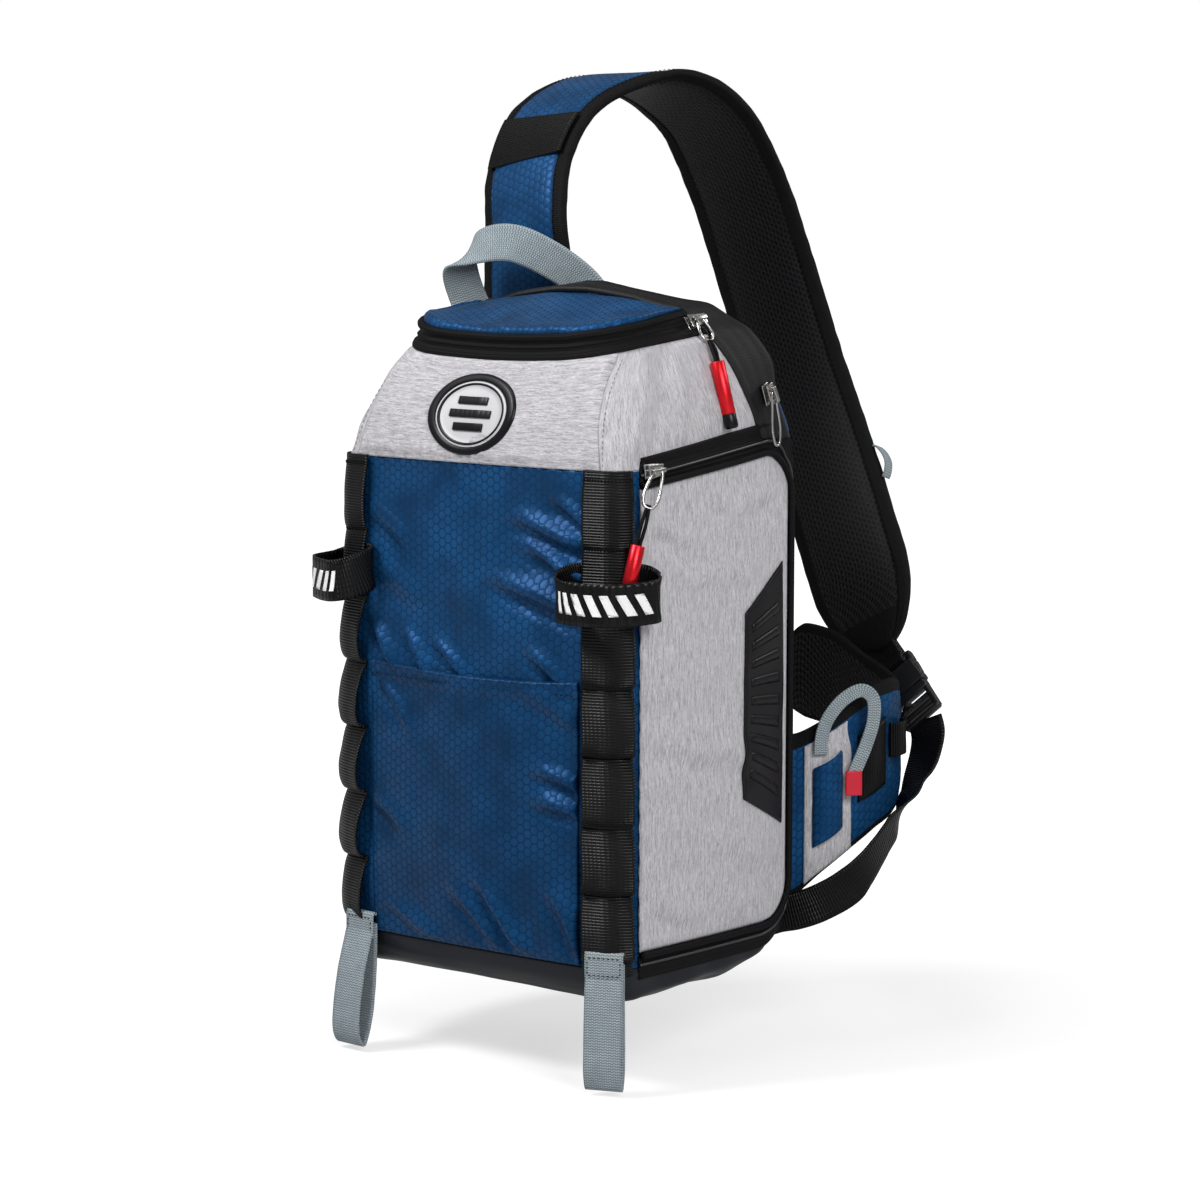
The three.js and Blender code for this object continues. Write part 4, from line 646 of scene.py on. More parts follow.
def ribbon(name, rows, width, thick, finish, spacing=2.0, columns=8, replaces=(), wave=0.0, path=None):
    """Webbing along a table of (place, width direction), with an even wall."""
    steps = path or even(rows, spacing)
    last = len(steps) - 1

    def place(s, t):
        at, wide, normal = steps[round(t * last)]
        across = (s - 0.5) * width
        ruffle = wave * ripple(at, 9, 3.1) * abs(2 * s - 1) ** 2
        return at + wide * across + normal * ruffle

    def straight(s, t, _):
        return ((s - 0.5) * width, t * last * spacing)

    return cloth(name, place, columns, last, finish, wall=thick, uv=straight, replaces=replaces, middle=0.0)


def sweep(name, steps, outline, finish, replaces=(), paint=None, closed=False, uv_turn=False):
    """A closed body: outline(k) gives the points (across, through) of section k, in order round it.

    A closed one ends where it starts, and the ends of any other are filled.
    """
    count = len(outline(0))
    last = len(steps) - 1
    lengths = np.cumsum([0.0] + [(b[0] - a[0]).length for a, b in zip(steps, steps[1:])])
    rounds = [outline(k) for k in range(last + 1)]
    girths = []
    for ring in rounds:
        sides = [math.dist(ring[i], ring[(i + 1) % count]) for i in range(count)]
        girths.append(np.cumsum([0.0] + sides))

    bm, spots = flat_grid(count, last)
    for vert in bm.verts:
        i, k = spots[vert.index]
        at, wide, normal = steps[k]
        a, b = rounds[k][i % count]
        vert.co = at + wide * a + normal * b
    layer = bm.loops.layers.uv.new("UVMap")
    for face in bm.faces:
        for corner in face.loops:
            i, k = spots[corner.vert.index]
            u, v = girths[k][i] - girths[k][-1] / 4, lengths[k]
            corner[layer].uv = (v, u) if uv_turn else (u, v)
        if paint:
            painted(face, spots, count, last, paint)
    bmesh.ops.remove_doubles(bm, verts=bm.verts, dist=0.01)
    if not closed:
        bmesh.ops.holes_fill(bm, edges=[e for e in bm.edges if e.is_boundary], sides=0)
    bmesh.ops.recalc_face_normals(bm, faces=bm.faces)
    if bm.calc_volume(signed=True) < 0:
        bmesh.ops.reverse_faces(bm, faces=bm.faces)
    finishes = (finish,) if isinstance(finish, str) else finish
    return finished(bm, name, finishes, replaces, merge=0.005)


def carried(points):
    """Stations along points whose frame turns as little as it can."""
    points = [Vector(p) for p in points]
    out, wide = [], None
    for k, p in enumerate(points):
        before, after = points[max(k - 1, 0)], points[min(k + 1, len(points) - 1)]
        tangent = (after - before).normalized()
        if wide is None:
            wide = Vector((0, 0, 1)) if abs(tangent.z) < 0.9 else Vector((1, 0, 0))
        wide = (wide - tangent * wide.dot(tangent)).normalized()
        out.append((p, wide.copy(), tangent.cross(wide)))
    return out


def pipe(name, points, radius, finish, sides=12, replaces=(), smooth_steps=0):
    """A round cord or bead along points, which a curve joins if smooth_steps asks for it."""
    if smooth_steps:
        curve = Curve(points)
        points = [curve.point(i / smooth_steps) for i in range(smooth_steps + 1)]
    steps = carried(points)
    outline = circle(radius, sides)
    return sweep(name, steps, lambda k: outline, finish, replaces)


def stitches(name, lines, length=2.6, space=1.2, radius=0.33, finish="thread"):
    """Rows of thread: each stitch is a small ball of twenty faces, stretched and sunk into the cloth."""
    bm = bmesh.new()
    for line in lines:
        line = [Vector(p) for p in line]
        marks = np.cumsum([0.0] + [(b - a).length for a, b in zip(line, line[1:])])
        count = int(marks[-1] // (length + space))
        for n in range(count):
            want = (n + 0.5) * (length + space)
            k = min(int(np.searchsorted(marks, want, side="right")) - 1, len(line) - 2)
            t = (want - marks[k]) / max(marks[k + 1] - marks[k], 1e-9)
            along = (line[k + 1] - line[k]).normalized()
            at = line[k].lerp(line[k + 1], t)
            turn = along.to_track_quat("Z", "Y").to_matrix().to_4x4()
            size = Matrix.Diagonal((radius, radius, length / 2, 1))
            put = Matrix.Translation(at) @ turn @ size
            bmesh.ops.create_icosphere(bm, subdivisions=1, radius=1.0, matrix=put)
    bm.loops.layers.uv.new("UVMap")
    return finished(bm, name, (finish,), merge=1e-5)


# Folds in the cloth of the front and of its pocket: from and to in width and height, height of the
# ridge, half width
FOLDS = (
    (28, 302, 94, 288, 3.6, 5.5), (40, 285, 94, 264, 2.8, 5.0), (68, 315, 94, 298, 2.4, 4.0),
    (26, 260, 94, 244, 3.4, 6.5),
    (12, 262, 52, 250, 1.6, 5.0), (-88, 225, -69, 199, 3.6, 4.2), (-57, 221, -38, 195, 3.4, 4.2),
    (-31, 217, -6, 196, 3.0, 4.2),
    (48, 218, 74, 198, 2.6, 5.0), (70, 270, 94, 264, 1.8, 4.0), (-90, 300, -60, 282, 1.6, 7.0),
    (-88, 262, -50, 246, 1.4, 8.0),
)
POCKET_FOLDS = (
    (-80, 186, -56, 163, 2.0, 5.0), (10, 66, 45, 26, 3.4, 6.0), (-14, 60, 21, 30, 2.2, 6.0),
    (56, 142, 94, 132, 2.4, 5.0),
    (56, 121, 94, 116, 2.2, 5.0), (68, 66, 94, 24, 2.4, 6.0), (-80, 40, -29, 24, 1.8, 6.0),
    (-88, 110, -58, 94, 1.4, 7.0),
    (40, 192, 90, 176, 1.4, 7.0),
)


def folded(table, x, z):
    """Height of the ridges of a fold table, each with a shallow trough below it."""
    total = 0.0
    for x1, z1, x2, z2, high, half in table:
        dx, dz = x2 - x1, z2 - z1
        length = math.hypot(dx, dz)
        along = ((x - x1) * dx + (z - z1) * dz) / length
        off = ((x - x1) * dz - (z - z1) * dx) / length + 1.5 * math.sin(along * 0.09)
        if abs(off) > 4 * half or along < -15 or along > length + 15:
            continue
        fade = ease(-8, 0.45 * length, along) * (1 - ease(length * 0.8, length + 12, along))
        total += 1.7 * fade * high * (bump(off, 0, half) - 0.7 * bump(off, 1.6 * half, 0.9 * half))
    return total


# The pieces


def rounded_w(values):
    """Grid columns that follow a list of outline places."""
    return lambda s: float(np.interp(s, np.linspace(0, 1, len(values)), values))


# Columns of the body's cloth, from the rear round to the rear: outline places and how many between them
BODY_COLUMNS = (
    (4.5, 5, 14), (5, 6, 6), (6, 7, 44), (7, 8, 6), (8, 9, 88), (9, 10, 6), (10, 11, 44), (11, 12, 6),
    (12, 12.5, 14),
)


def build_body():
    columns = []
    for start, end, count in BODY_COLUMNS:
        columns += list(np.linspace(start, end, count, endpoint=False))
    columns.append(BODY_COLUMNS[-1][1])
    at = rounded_w(columns)
    count = len(columns) - 1
    low, high = BOOT_HEIGHT - 1.0, SEAM_HEIGHT + 0.4

    def place(s, t):
        return skin(mix(low, high, t), at(s), -1.0)

    def lift(s, t, p):
        w = at(s)
        seams = 1 - bump(p.z, high, 5.0) - bump(p.z, low, 4.0)
        swell = 2.4 * ripple(p, 75) + 0.9 * ripple(p, 26, 1.7)
        if 8 <= w <= 9:
            swell += folded(FOLDS, p.x, p.z) * ease(POCKET_HEM - 60, POCKET_HEM - 20, p.z)
        return 0.6 + swell * seams * (0.5 if w > 9 or w < 8 else 1.0)

    round_mm = {}

    def mapped(s, t, p):
        w = at(s) - 8.5
        if w not in round_mm:
            section = section_at(200)
            flat, arc = section[0] - section[4], section[4] * math.pi / 2
            side = section[3] - section[2] - 2 * section[4]
            knots = np.cumsum([0, flat, arc, side, arc, flat])
            round_mm[w] = math.copysign(float(np.interp(abs(w), [0, 0.5, 1.5, 2.5, 3.5, 4.0], knots)), w)
        return (round_mm[w], mix(low, high, t))

    cloth("body_cloth", place, count, 116, "navy", wall=1.4, lift=lift, uv=mapped, loop=True,
            replaces=("body_wall",))

    # The boot: a tub of tarpaulin that slumps and creases over the side
    def tub(s, t):
        h = mix(LOWEST, BOOT_HEIGHT + 0.6, t)
        return skin(h, at(s), -0.2)

    def slump(s, t, p):
        side = ease(60, 110, abs(p.x))
        crease = 2.4 * bump(p.z - 4 - 0.06 * p.y, 0, 4.5) + 1.8 * ripple((p.x, p.y, p.z * 2), 30, 4.0)
        rim = 1 - ease(BOOT_HEIGHT - 5, BOOT_HEIGHT + 1, p.z)
        return 0.3 + (crease * side + 0.7 * ripple(p, 40, 2.0)) * rim

    cloth("boot_wall", tub, count, 22, "coated", lift=slump, loop=True, replaces=("base_boot",))

    def floor(s, t):
        rim = skin(LOWEST, at(s), -0.4)
        return Vector((rim.x * t, mix(-15.0, rim.y, t), LOWEST + 0.2 - 0.8 * (1 - t)))

    cloth("boot_floor", floor, count, 8, "coated", loop=True, uv=lambda s, t, p: (p.x, p.y))


def build_pocket():
    edge, low = DAISY_INNER - 1, BOOT_HEIGHT + 1.5

    def place(s, t):
        across = mix(-edge, edge, s)
        height = mix(low, POCKET_HEM - 3.0 * (1 - (across / edge) ** 2), t)
        slack = (1 - (across / edge) ** 2) * (3.0 * t + 4.0 * math.sin(math.pi * t))
        return front_point(height, across, 0.9 + slack)

    def lift(s, t, p):
        below = POCKET_HEM - mix(low, POCKET_HEM, t)
        hem = 1.2 * (1 - ease(10.0, 11.4, below)) + 1.0 * bump(below, 1.6, 1.4)
        roll = -2.6 * (1 - ease(0.0, 1.2, below))
        seams = ease(0, 4, mix(0, 178, s)) * ease(0, 4, mix(178, 0, s))
        puff = 2.2 * ripple(p, 65, 5.0) + 0.8 * ripple(p, 22, 6.0) + folded(POCKET_FOLDS, p.x, p.z)
        return 0.7 + hem + roll + puff * seams * ease(0, 6, mix(0, 180, t))

    def mapped(s, t, p):
        return (mix(-edge, edge, s), mix(low, POCKET_HEM, t))

    # Its cloth is the navy darkened as painted shade
    cloth("pocket_cloth", place, 110, 120, "pocket", wall=1.1, lift=lift, uv=mapped,
            replaces=("front_pocket",))
    line = []
    for across in np.linspace(-edge + 1, edge - 1, 60):
        line.append(front_point(POCKET_HEM - 9.2, across, 3.1 + 3.0 * (1 - (across / edge) ** 2) * 0.95))
    stitches("pocket_hem_stitching", [line])


def yoke_seam(z):
    """Half the width of the front yoke at a height."""
    return HALF_WIDTH * mix(0.87, 0.708, clamp((z - SEAM_HEIGHT) / (BELT_TOP - SEAM_HEIGHT)))


def tabled(fn, low, high, count=60):
    """fn of height, read from a table."""
    xs = np.linspace(low, high, count)
    ys = [fn(float(x)) for x in xs]
    return lambda h: float(np.interp(h, xs, ys))


# Creases of the side yokes: depth, lean, height and half width
YOKE_CREASES = ((-62, 0.6, 2.0, 6), (-44, 0.5, -2.4, 5), (-24, 0.3, 2.2, 6), (-6, -0.1, -1.6, 6),
        (14, -0.45, 1.8, 6))


def build_yokes():
    low, high = SEAM_HEIGHT - 0.2, BELT_HEIGHT + 1.0

    def seam_across(h):
        return solved(lambda a: front_point(h, a).x - yoke_seam(front_point(h, a).z), 40, 160)

    seam = tabled(seam_across, low, high)
    rear = tabled(lambda h: solved(lambda a: front_point(h, a).y - arch_edge(front_point(h, a).z, 1.0), 120,
            330), low, high)

    def puckers(across, up):
        return 0.55 * math.sin(across * 0.62 + 2 * math.sin(across * 0.13)) * (1 - ease(0, 15, up))

    def front(s, t):
        h = mix(low, high, t)
        return front_point(h, mix(-seam(h), seam(h), s), 0.2)

    def front_lift(s, t, p):
        edge = min(s, 1 - s) * 190
        rise = ease(0, 5, edge) * ease(0, 7, t * 69) * ease(0, 5, (1 - t) * 69)
        return rise * (1.8 + 1.8 * ripple(p, 46, 8.0) + 0.7 * ripple(p, 16, 9.0)) + puckers(p.x,
                t * 69) * ease(0, 10, edge)

    cloth("yoke_front_cloth", front, 130, 50, "grey", lift=front_lift, replaces=("yoke_front",))
    for side, name in ((1, "right"), (-1, "left")):
        def place(s, t, side=side):
            h = mix(low, high, t)
            return front_point(h, side * mix(seam(h), rear(h), s), 0.2)

        def lift(s, t, p):
            edge = min(s * 150, (1 - s) * 150)
            rise = ease(0, 5, edge) * ease(0, 7, t * 69) * ease(0, 5, (1 - t) * 69)
            creases = sum(high * bump(p.y - lean * (p.z - 360), at, wide)
                    for at, lean, high, wide in YOKE_CREASES)
            # Beside the tray pocket the cloth lies flat below its zip band
            flat = ease(TRAY_TOP_FRONT + 16, TRAY_TOP_FRONT + 30, p.z - 0.1 * (p.y + FRONT_DEPTH))
            soft = 0.8 + 2.0 * ripple(p, 40, 10.0) + 0.6 * ripple(p, 15, 3.0) + creases
            return (rise * soft + 0.7 * puckers(p.y, t * 69)) * flat - 0.6 * (1 - flat)

        def mapped(s, t, p):
            return (mix(low, high, t) * 1.1, s * 150)

        cloth("yoke_%s_cloth" % name, place, 100, 46, "grey", lift=lift, uv=mapped,
                replaces=("yoke_side_" + name,))
        lines = [[front_point(h, side * (seam(h) + 3.2), 1.5) for h in np.linspace(low + 2, high - 2, 40)]]
        stitches("yoke_%s_stitching" % name, lines, finish="yoke_thread", radius=0.25)


def build_lid():
    low, high = BELT_HEIGHT + 0.2, BELT_TOP + 0.4
    rear = tabled(lambda h: solved(lambda a: front_point(h, a).y - arch_edge(front_point(h, a).z, 2.0), 90,
            330), low, high)
    # Cross-section of the belt: share of its width, stand-off
    steps = [0, 0.03, 0.10, 0.24, 0.28, 0.34, 0.42, 0.48, 0.54, 0.62, 0.68, 0.74, 0.82, 0.90, 0.96, 1.0]
    rise = [-0.6, 0.9, 1.5, 1.4, 0.3, 0.1, 0.4, 1.5, 0.4, 0.1, 0.8, 2.2, 2.9, 2.7, 1.6, -0.4]

    def belt(s, t):
        h = mix(low, high, t)
        return front_point(h, mix(-rear(h), rear(h), s), 0.0)

    def belt_lift(s, t, p):
        puff = 1 + 0.5 * bump(p.x, -86, 22) * ease(0.6, 0.75, t)
        return float(np.interp(t, steps, rise)) * puff + 0.35 * ripple(p, 16, 11.0)

    cloth("lid_belt", belt, 240, 34, "tape", lift=belt_lift, replaces=("lid_zip_band",))
    dome_low = BELT_TOP - 1.5
    last_w = solved(lambda w: before_arch(dome_low, w + 0.5, -0.5), 1.0, 2.6)

    def top_of(w):
        if before_arch(BAG_HEIGHT, w + 0.5, -0.3) < 0:
            return BAG_HEIGHT
        return solved(lambda h: before_arch(h, w + 0.5, -0.3), dome_low - 2, BAG_HEIGHT)

    spread = np.linspace(0, last_w, 70)
    tops = [top_of(float(w)) for w in spread]

    def dome(s, t):
        w = mix(-last_w, last_w, s)
        h = mix(dome_low, float(np.interp(abs(w), spread, tops)), t)
        return skin(h, w + 0.5 if w >= 0 else 8.5 + w, 0.0)

    def dome_lift(s, t, p):
        hug = ease(0, 0.16, t)
        roll = 3.0 * bump(t, 0.14, 0.12)
        wave = 1.9 * ripple(p, 46, 12.0) + 0.6 * ripple(p, 17, 13.0) + 0.9 * ripple(p, 7, 17.0) * bump(t,
                0.1, 0.06)
        return -1.0 + hug * (1.6 + wave) * (1 - ease(0.93, 1.0, t)) + roll

    cloth("lid_dome", dome, 150, 56, "navy", lift=dome_lift, uv=lambda s, t, p: (p.x, p.y * 1.03),
            replaces=("lid_panel",))
    build_arch()


def half_width_at(height, y):
    """Half the outline's width at a height and depth, below 0 outside it."""
    half_front, half_rear, front, rear, r, _, _ = section_at(height)
    fx, rx, fy, ry = half_front - r, half_rear - r, front + r, rear - r
    if fy <= y <= ry:
        return mix(fx, rx, (y - fy) / (ry - fy)) + r
    cx, cy = (fx, fy) if y < fy else (rx, ry)
    if abs(y - cy) > r:
        return -1.0
    return cx + math.sqrt(r * r - (y - cy) ** 2)


def inside(x, y, z):
    """Whether a point lies within the bag."""
    h = z
    for _ in range(10):
        section = section_at(h)
        back = min(y, LID_RISE_END) - section[2]
        across = clamp(1 - (x / section[0]) ** 2)
        near = clamp(1 - (y - section[2]) / FRONT_DEPTH)
        h = 0.4 * h + 0.6 * (z - section[6] * (LID_RISE * max(back, 0) - BELT_SAG * across * near * near))
    return h < BAG_HEIGHT and abs(x) < half_width_at(h, y)


def over_top(angle, shift):
    """The skin's point at an angle from the right foot in the arch's plane, moved back by shift."""
    ca, sa = math.cos(angle), math.sin(angle)

    def outside(r):
        z = ARCH_FOOT + r * sa
        return -1 if inside(r * ca, arch_edge(z, shift), z) else 1

    r = solved(outside, 20, 140, 22)
    z = ARCH_FOOT + r * sa
    return Vector((r * ca, arch_edge(z, shift), z))


def build_arch():
    """Smooth black band of the rear zip, with a raised edge on both sides."""
    steps = [0, 0.04, 0.14, 0.2, 0.36, 0.44, 0.5, 0.56, 0.64, 0.8, 0.86, 0.96, 1.0]
    rise = [-0.8, 2.4, 3.0, 2.2, 2.6, 2.6, 2.4, 2.6, 2.8, 2.6, 3.8, 3.0, -0.8]

    def place(s, t):
        spare = 10.0 * (ease(0.06, 0.14, s) - ease(0.3, 0.42, s) + ease(0.58, 0.7, s) - ease(0.86, 0.94, s))
        return over_top(mix(0, math.pi, s), mix(-0.6, ARCH_WIDTH + 0.8 + spare, t))

    def lift(s, t, p):
        return float(np.interp(t, steps, rise)) + 0.4 * ripple(p, 22, 14.0)

    def mapped(s, t, p):
        return (t * ARCH_WIDTH, s * 330)

    cloth("arch_band", place, 170, 24, "black", lift=lift, uv=mapped, replaces=("rear_zip_band",),
            out=Vector((0, 20, 380)))
    low = SEAM_HEIGHT - 0.2
    top = BAG_HEIGHT - 0.3

    def start(h):
        shift = 0.0 if h < ARCH_FOOT else ARCH_WIDTH - 1.0
        return solved(lambda w: before_arch(h, w, shift), 1.5, 4.5)

    edge = tabled(start, low, top, 120)

    def shell(s, t):
        h = mix(low, top, t)
        return skin(h, mix(edge(h), 9 - edge(h), s), -0.2)

    def shell_lift(s, t, p):
        wave = 1.6 * ripple(p, 55, 15.0) + 0.5 * ripple(p, 18, 16.0)
        sunk = 8.0 * ease(ARCH_FOOT, ARCH_FOOT + 50, p.z) * ease(-0.02, 0.06, min(s, 1 - s))
        return 0.2 - sunk + wave * ease(0, 0.08, s) * ease(0, 0.08, 1 - s) * ease(0, 0.06,
                t) * (1 - ease(0.9, 1, t))

    def shell_map(s, t, p):
        return (p.y if abs(p.x) > 95 else math.copysign(abs(p.x) - 200, p.x), p.z)

    cloth("back_shell_cloth", shell, 130, 56, "navy", lift=shell_lift, uv=shell_map,
            replaces=("back_shell",))


# Webbing down the two front corners: how far each loop stands off, and what is left off each edge
LOOP_BULGES = (6.5, 8.0, 8.0, 8.0, 6.5, 3.5, 2.5)
DAISY_INSET = 3.0


def daisy_stand(height):
    """How far the webbing stands off the cloth, and how far through its loop the height is.

    It is sewn flat at each bartack and sags between them, so each loop is fullest a third of the way up.
    """
    spot = (height - DAISY_LAST) / DAISY_STITCH
    k = min(int(spot), len(LOOP_BULGES) - 1)
    rise = min(DAISY_STITCH, SEAM_HEIGHT - 1 - DAISY_LAST - k * DAISY_STITCH)
    share = (spot - k) * DAISY_STITCH / rise
    if height < DAISY_LAST or share >= 1:
        return 0.0, 1.0
    full = LOOP_BULGES[k] * (rise / DAISY_STITCH) ** 0.5
    return full * max(math.sin(math.pi * clamp(share) ** 0.62), 0.0) ** 0.75, share


def build_daisies():
    low, high = BOOT_HEIGHT - 3.0, SEAM_HEIGHT + 0.5
    inner, outer = DAISY_INNER + DAISY_INSET, DAISY_INNER + DAISY_WIDTH - DAISY_INSET
    tacks = [DAISY_LAST + k * DAISY_STITCH for k in range(8)]
    lines = []
    for side, name in ((1, "right"), (-1, "left")):
        def place(s, t, side=side):
            h = mix(low, high, t)
            stand, share = daisy_stand(h)
            wrapped = front_point(h, side * mix(inner, outer, s), 2.3 + stand * 0.8)
            # A loop is stiffer than the corner is sharp, so it lies flat across it
            ends = [front_point(h, side * u, 2.3) for u in (inner, outer)]
            away = Vector((side, -1, 0)).normalized()
            level = ends[0].lerp(ends[1], s) + away * (6.0 + stand * 0.55)
            at = wrapped.lerp(level, 0.75 * clamp(stand / 8))
            at.z -= 0.42 * stand * (1 - share)
            return at

        def lift(s, t, p):
            stand = daisy_stand(mix(low, high, t))[0]
            return (0.5 * ripple(p, 20, 21.0) + 0.25 * ripple(p, 8, 22.0) * abs(2 * s - 1)) * ease(0, 3,
                    stand)

        def mapped(s, t, p):
            return (s * DAISY_WIDTH, t * (high - low) * 1.12)

        cloth("daisy_%s" % name, place, 20, 320, "webbing", wall=1.3, lift=lift, uv=mapped,
              replaces=("daisy_webbing_" + name,))
        for h in tacks:
            for k in range(15):
                u = mix(inner + 1.5, outer - 1.5, k / 14)
                lines.append([front_point(h + d, side * (u + 0.5 * d / 1.3), 2.75) for d in (-1.6, 1.6)])
    stitches("daisy_bartacks", lines, length=2.4, space=0.1, radius=0.42)


# A rod ring's path: place across the webbing, share of its lean, share of its stand-off, stand-off
RING_ROWS = (
    (2, 0, 0, 1.9), (12, 0, 0, 1.9), (22, 0, 0, 1.9), (30, 0, 0, 1.9), (37.5, 0, 0, 2.0), (43, 0, 0, 5),
    (43, 1, 0.5, 1), (36, 1, 0.88, 0), (23, 1, 1, 0), (8, 1, 0.97, 0), (-3, 1, 0.8, 0), (-6, 0.4, 0.45, 0),
    (-3, 0, 0, 4.5),
)
# Where the bars start and end on a ring's path, how many there are, and the ring's own width
RING_PRINT, RING_BARS, RING_WIDTH = (7.2 / 13, 9.6 / 13), 7, 27.0


def build_rings():
    height = DAISY_LAST + 5.5 * DAISY_STITCH
    for name, side, stand, lean in (("right", 1, 24, 0), ("left", -1, 26, 8)):
        rows = []
        for across, leans, stands, off in RING_ROWS:
            out = stands * stand + off
            at = front_point(height, side * (DAISY_INNER + across + leans * lean), out)
            rows.append(Vector((at.x, at.y, at.z - 0.45 * out)))
        loop = Curve(rows, 0.5, closed=True)
        centre = sum(rows, Vector()) / len(rows)

        def spot(t, v, lift, loop=loop, side=side):
            tangent = loop.tangent(t)
            wide = (Vector((0, 0, 1)) - tangent * tangent.z).normalized()
            normal = tangent.cross(wide) * side
            at = loop.point(t % 1.0)
            wave = 0.9 * ripple((at.x, at.y, v * 30), 14, 31.0) * (abs(v) * 2) ** 2
            return at + wide * (v * RING_WIDTH) + normal * (wave + lift)

        def place(s, t):
            return spot(s, t - 0.5, 0.0)

        cloth("rod_ring_" + name, place, 150, 10, "webbing", wall=1.8, loop=True, middle=0.0, out=centre,
              uv=lambda s, t, p: (t * RING_WIDTH, s * 150), replaces=("rod_strap_" + name,))
        bm = bmesh.new()
        sign = 1 if (spot(0.6, 0, 1.0) - centre).length > (spot(0.6, 0, 0.0) - centre).length else -1
        for k in range(RING_BARS):
            low, high = (mix(*RING_PRINT, (k + share) / RING_BARS) for share in (0, 0.55))
            part = bmesh.new()
            bmesh.ops.create_grid(part, x_segments=3, y_segments=8, size=1.0)
            for vert in part.verts:
                u, v = (vert.co.x + 1) / 2, vert.co.y
                vert.co = spot(mix(low, high, u) + 0.008 * v, v * 0.24, sign * 1.15)
            bmesh.ops.solidify(part, geom=part.faces[:], thickness=0.35)
            bmesh.ops.recalc_face_normals(part, faces=part.faces)
            gather(bm, part)
        bm.loops.layers.uv.verify()
        finished(bm, "rod_ring_%s_bars" % name, ("print",), merge=1e-4)


# Base loops: stand-off share, drop share
RIGHT_LOOP = ((0, 0), (0, 0.3), (-0.05, 0.8), (0, 1.15), (0.22, 1.3), (0.45, 1.18), (0.45, 0.8), (0.3, 0.3),
        (0.17, 0.08), (0.16, 0))
LEFT_LOOP = ((0, 0), (0.03, 0.3), (0.15, 0.7), (0.45, 1.1), (0.85, 1.3), (1.15, 1.2), (1.1, 0.85),
        (0.75, 0.45), (0.3, 0.12), (0.16, 0))


def build_base_loops():
    flat = HALF_WIDTH * (1 - CORNER)
    lines = []
    for name, share, heading, rows in (("right", 1.048, 21, RIGHT_LOOP), ("left", -0.942, -4, LEFT_LOOP)):
        turn = math.radians(heading)
        across = Vector((math.cos(turn), math.sin(turn), 0))
        out = Vector((math.sin(turn), -math.cos(turn), 0))
        foot = front_point(BOOT_HEIGHT + 6, share * flat, 2.8)
        table = [(foot + out * (o * 14) + Vector((0, 0, -d * 62)), across) for o, d in rows]
        ribbon("base_loop_" + name + "_band", table, 25.0, 1.6, "grey_webbing", spacing=1.6, columns=10,
                replaces=("base_loop_" + name,), wave=0.3)
        tab = [(foot + out * o + Vector((0, 0, h)), across)
                for o, h in ((3.1, -9.5), (3.5, -5), (3.5, 0), (3.4, 4.5), (2.6, 6.8), (1.0, 7.0),
                        (0.0, 5.5))]
        ribbon("base_loop_" + name + "_tab", tab, 25.4, 1.3, "grey_webbing", spacing=1.2)
        for h in (-7.4, 3.6):
            lines.append([foot + out * 4.35 + across * a + Vector((0, 0, h))
                    for a in np.linspace(-11, 11, 12)])
        for a in (-11, 11):
            lines.append([foot + out * 4.35 + across * a + Vector((0, 0, h))
                    for h in np.linspace(-7.4, 3.6, 6)])
    stitches("base_loop_stitching", lines, length=2.2, space=0.9, radius=0.34)


# Tray pocket on the right side


def tray_shape(grow_top, grow_rear, grow_bottom, count=40):
    """Outline of the tray pocket as (along, height), from its front foot round the rear to its head."""
    front = TRAY_FRONT
    rear = front + TRAY_LENGTH + grow_rear
    slope = (TRAY_TOP_REAR - TRAY_TOP_FRONT) / TRAY_LENGTH
    top_rear = TRAY_TOP_REAR + grow_top + slope * grow_rear
    bottom = TRAY_BOTTOM - grow_bottom
    r = TRAY_CORNER + grow_rear
    points = [(mix(front, rear - r, k / count), bottom) for k in range(count)]
    for cx, cz, start in ((rear - r, bottom + r, -90), (rear - r, top_rear - r - slope * r, 0)):
        if start == 0:
            points += [(rear, mix(bottom + r, cz, k / (2 * count))) for k in range(2 * count)]
        for k in range(count // 2 + (start == 0)):
            a = math.radians(start + 90 * k / (count // 2))
            points.append((cx + r * math.cos(a), cz + r * math.sin(a)))
    last = points[-1]
    return points + [(mix(last[0], front, k / count), mix(last[1], TRAY_TOP_FRONT + grow_top, k / count))
            for k in range(1, count + 1)]


# Creases of the tray panel: from and to in depth along the side and height, ridge height, half width
TRAY_FOLDS = (
    (6, 300, 50, 286, 1.4, 5), (6, 270, 122, 258, 1.2, 7), (4, 165, 124, 138, 1.6, 8),
    (45, 238, 80, 218, -1.2, 14),
    (8, 60, 60, 44, 1.4, 7), (90, 300, 146, 318, 1.6, 7), (70, 96, 140, 70, 1.3, 8),
)


def tray_stand(along, height):
    """How far the filled tray pocket stands off the side, with its creases."""
    a = clamp((along - TRAY_FRONT) / TRAY_LENGTH)
    b = clamp((height - TRAY_BOTTOM) / (TRAY_TOP_FRONT - TRAY_BOTTOM))
    full = 4.0 * math.sqrt(max(math.sin(math.pi * a) * math.sin(math.pi * b), 0))
    wave = 1.2 * ripple((a, along, height), 75, 41.0) + 0.6 * ripple((a, along, height), 26,
            42.0) + 0.7 * folded(TRAY_FOLDS, along, height)
    return full + wave * ease(0, 14, min(a * TRAY_LENGTH, (1 - a) * TRAY_LENGTH, b * 300, (1 - b) * 300))


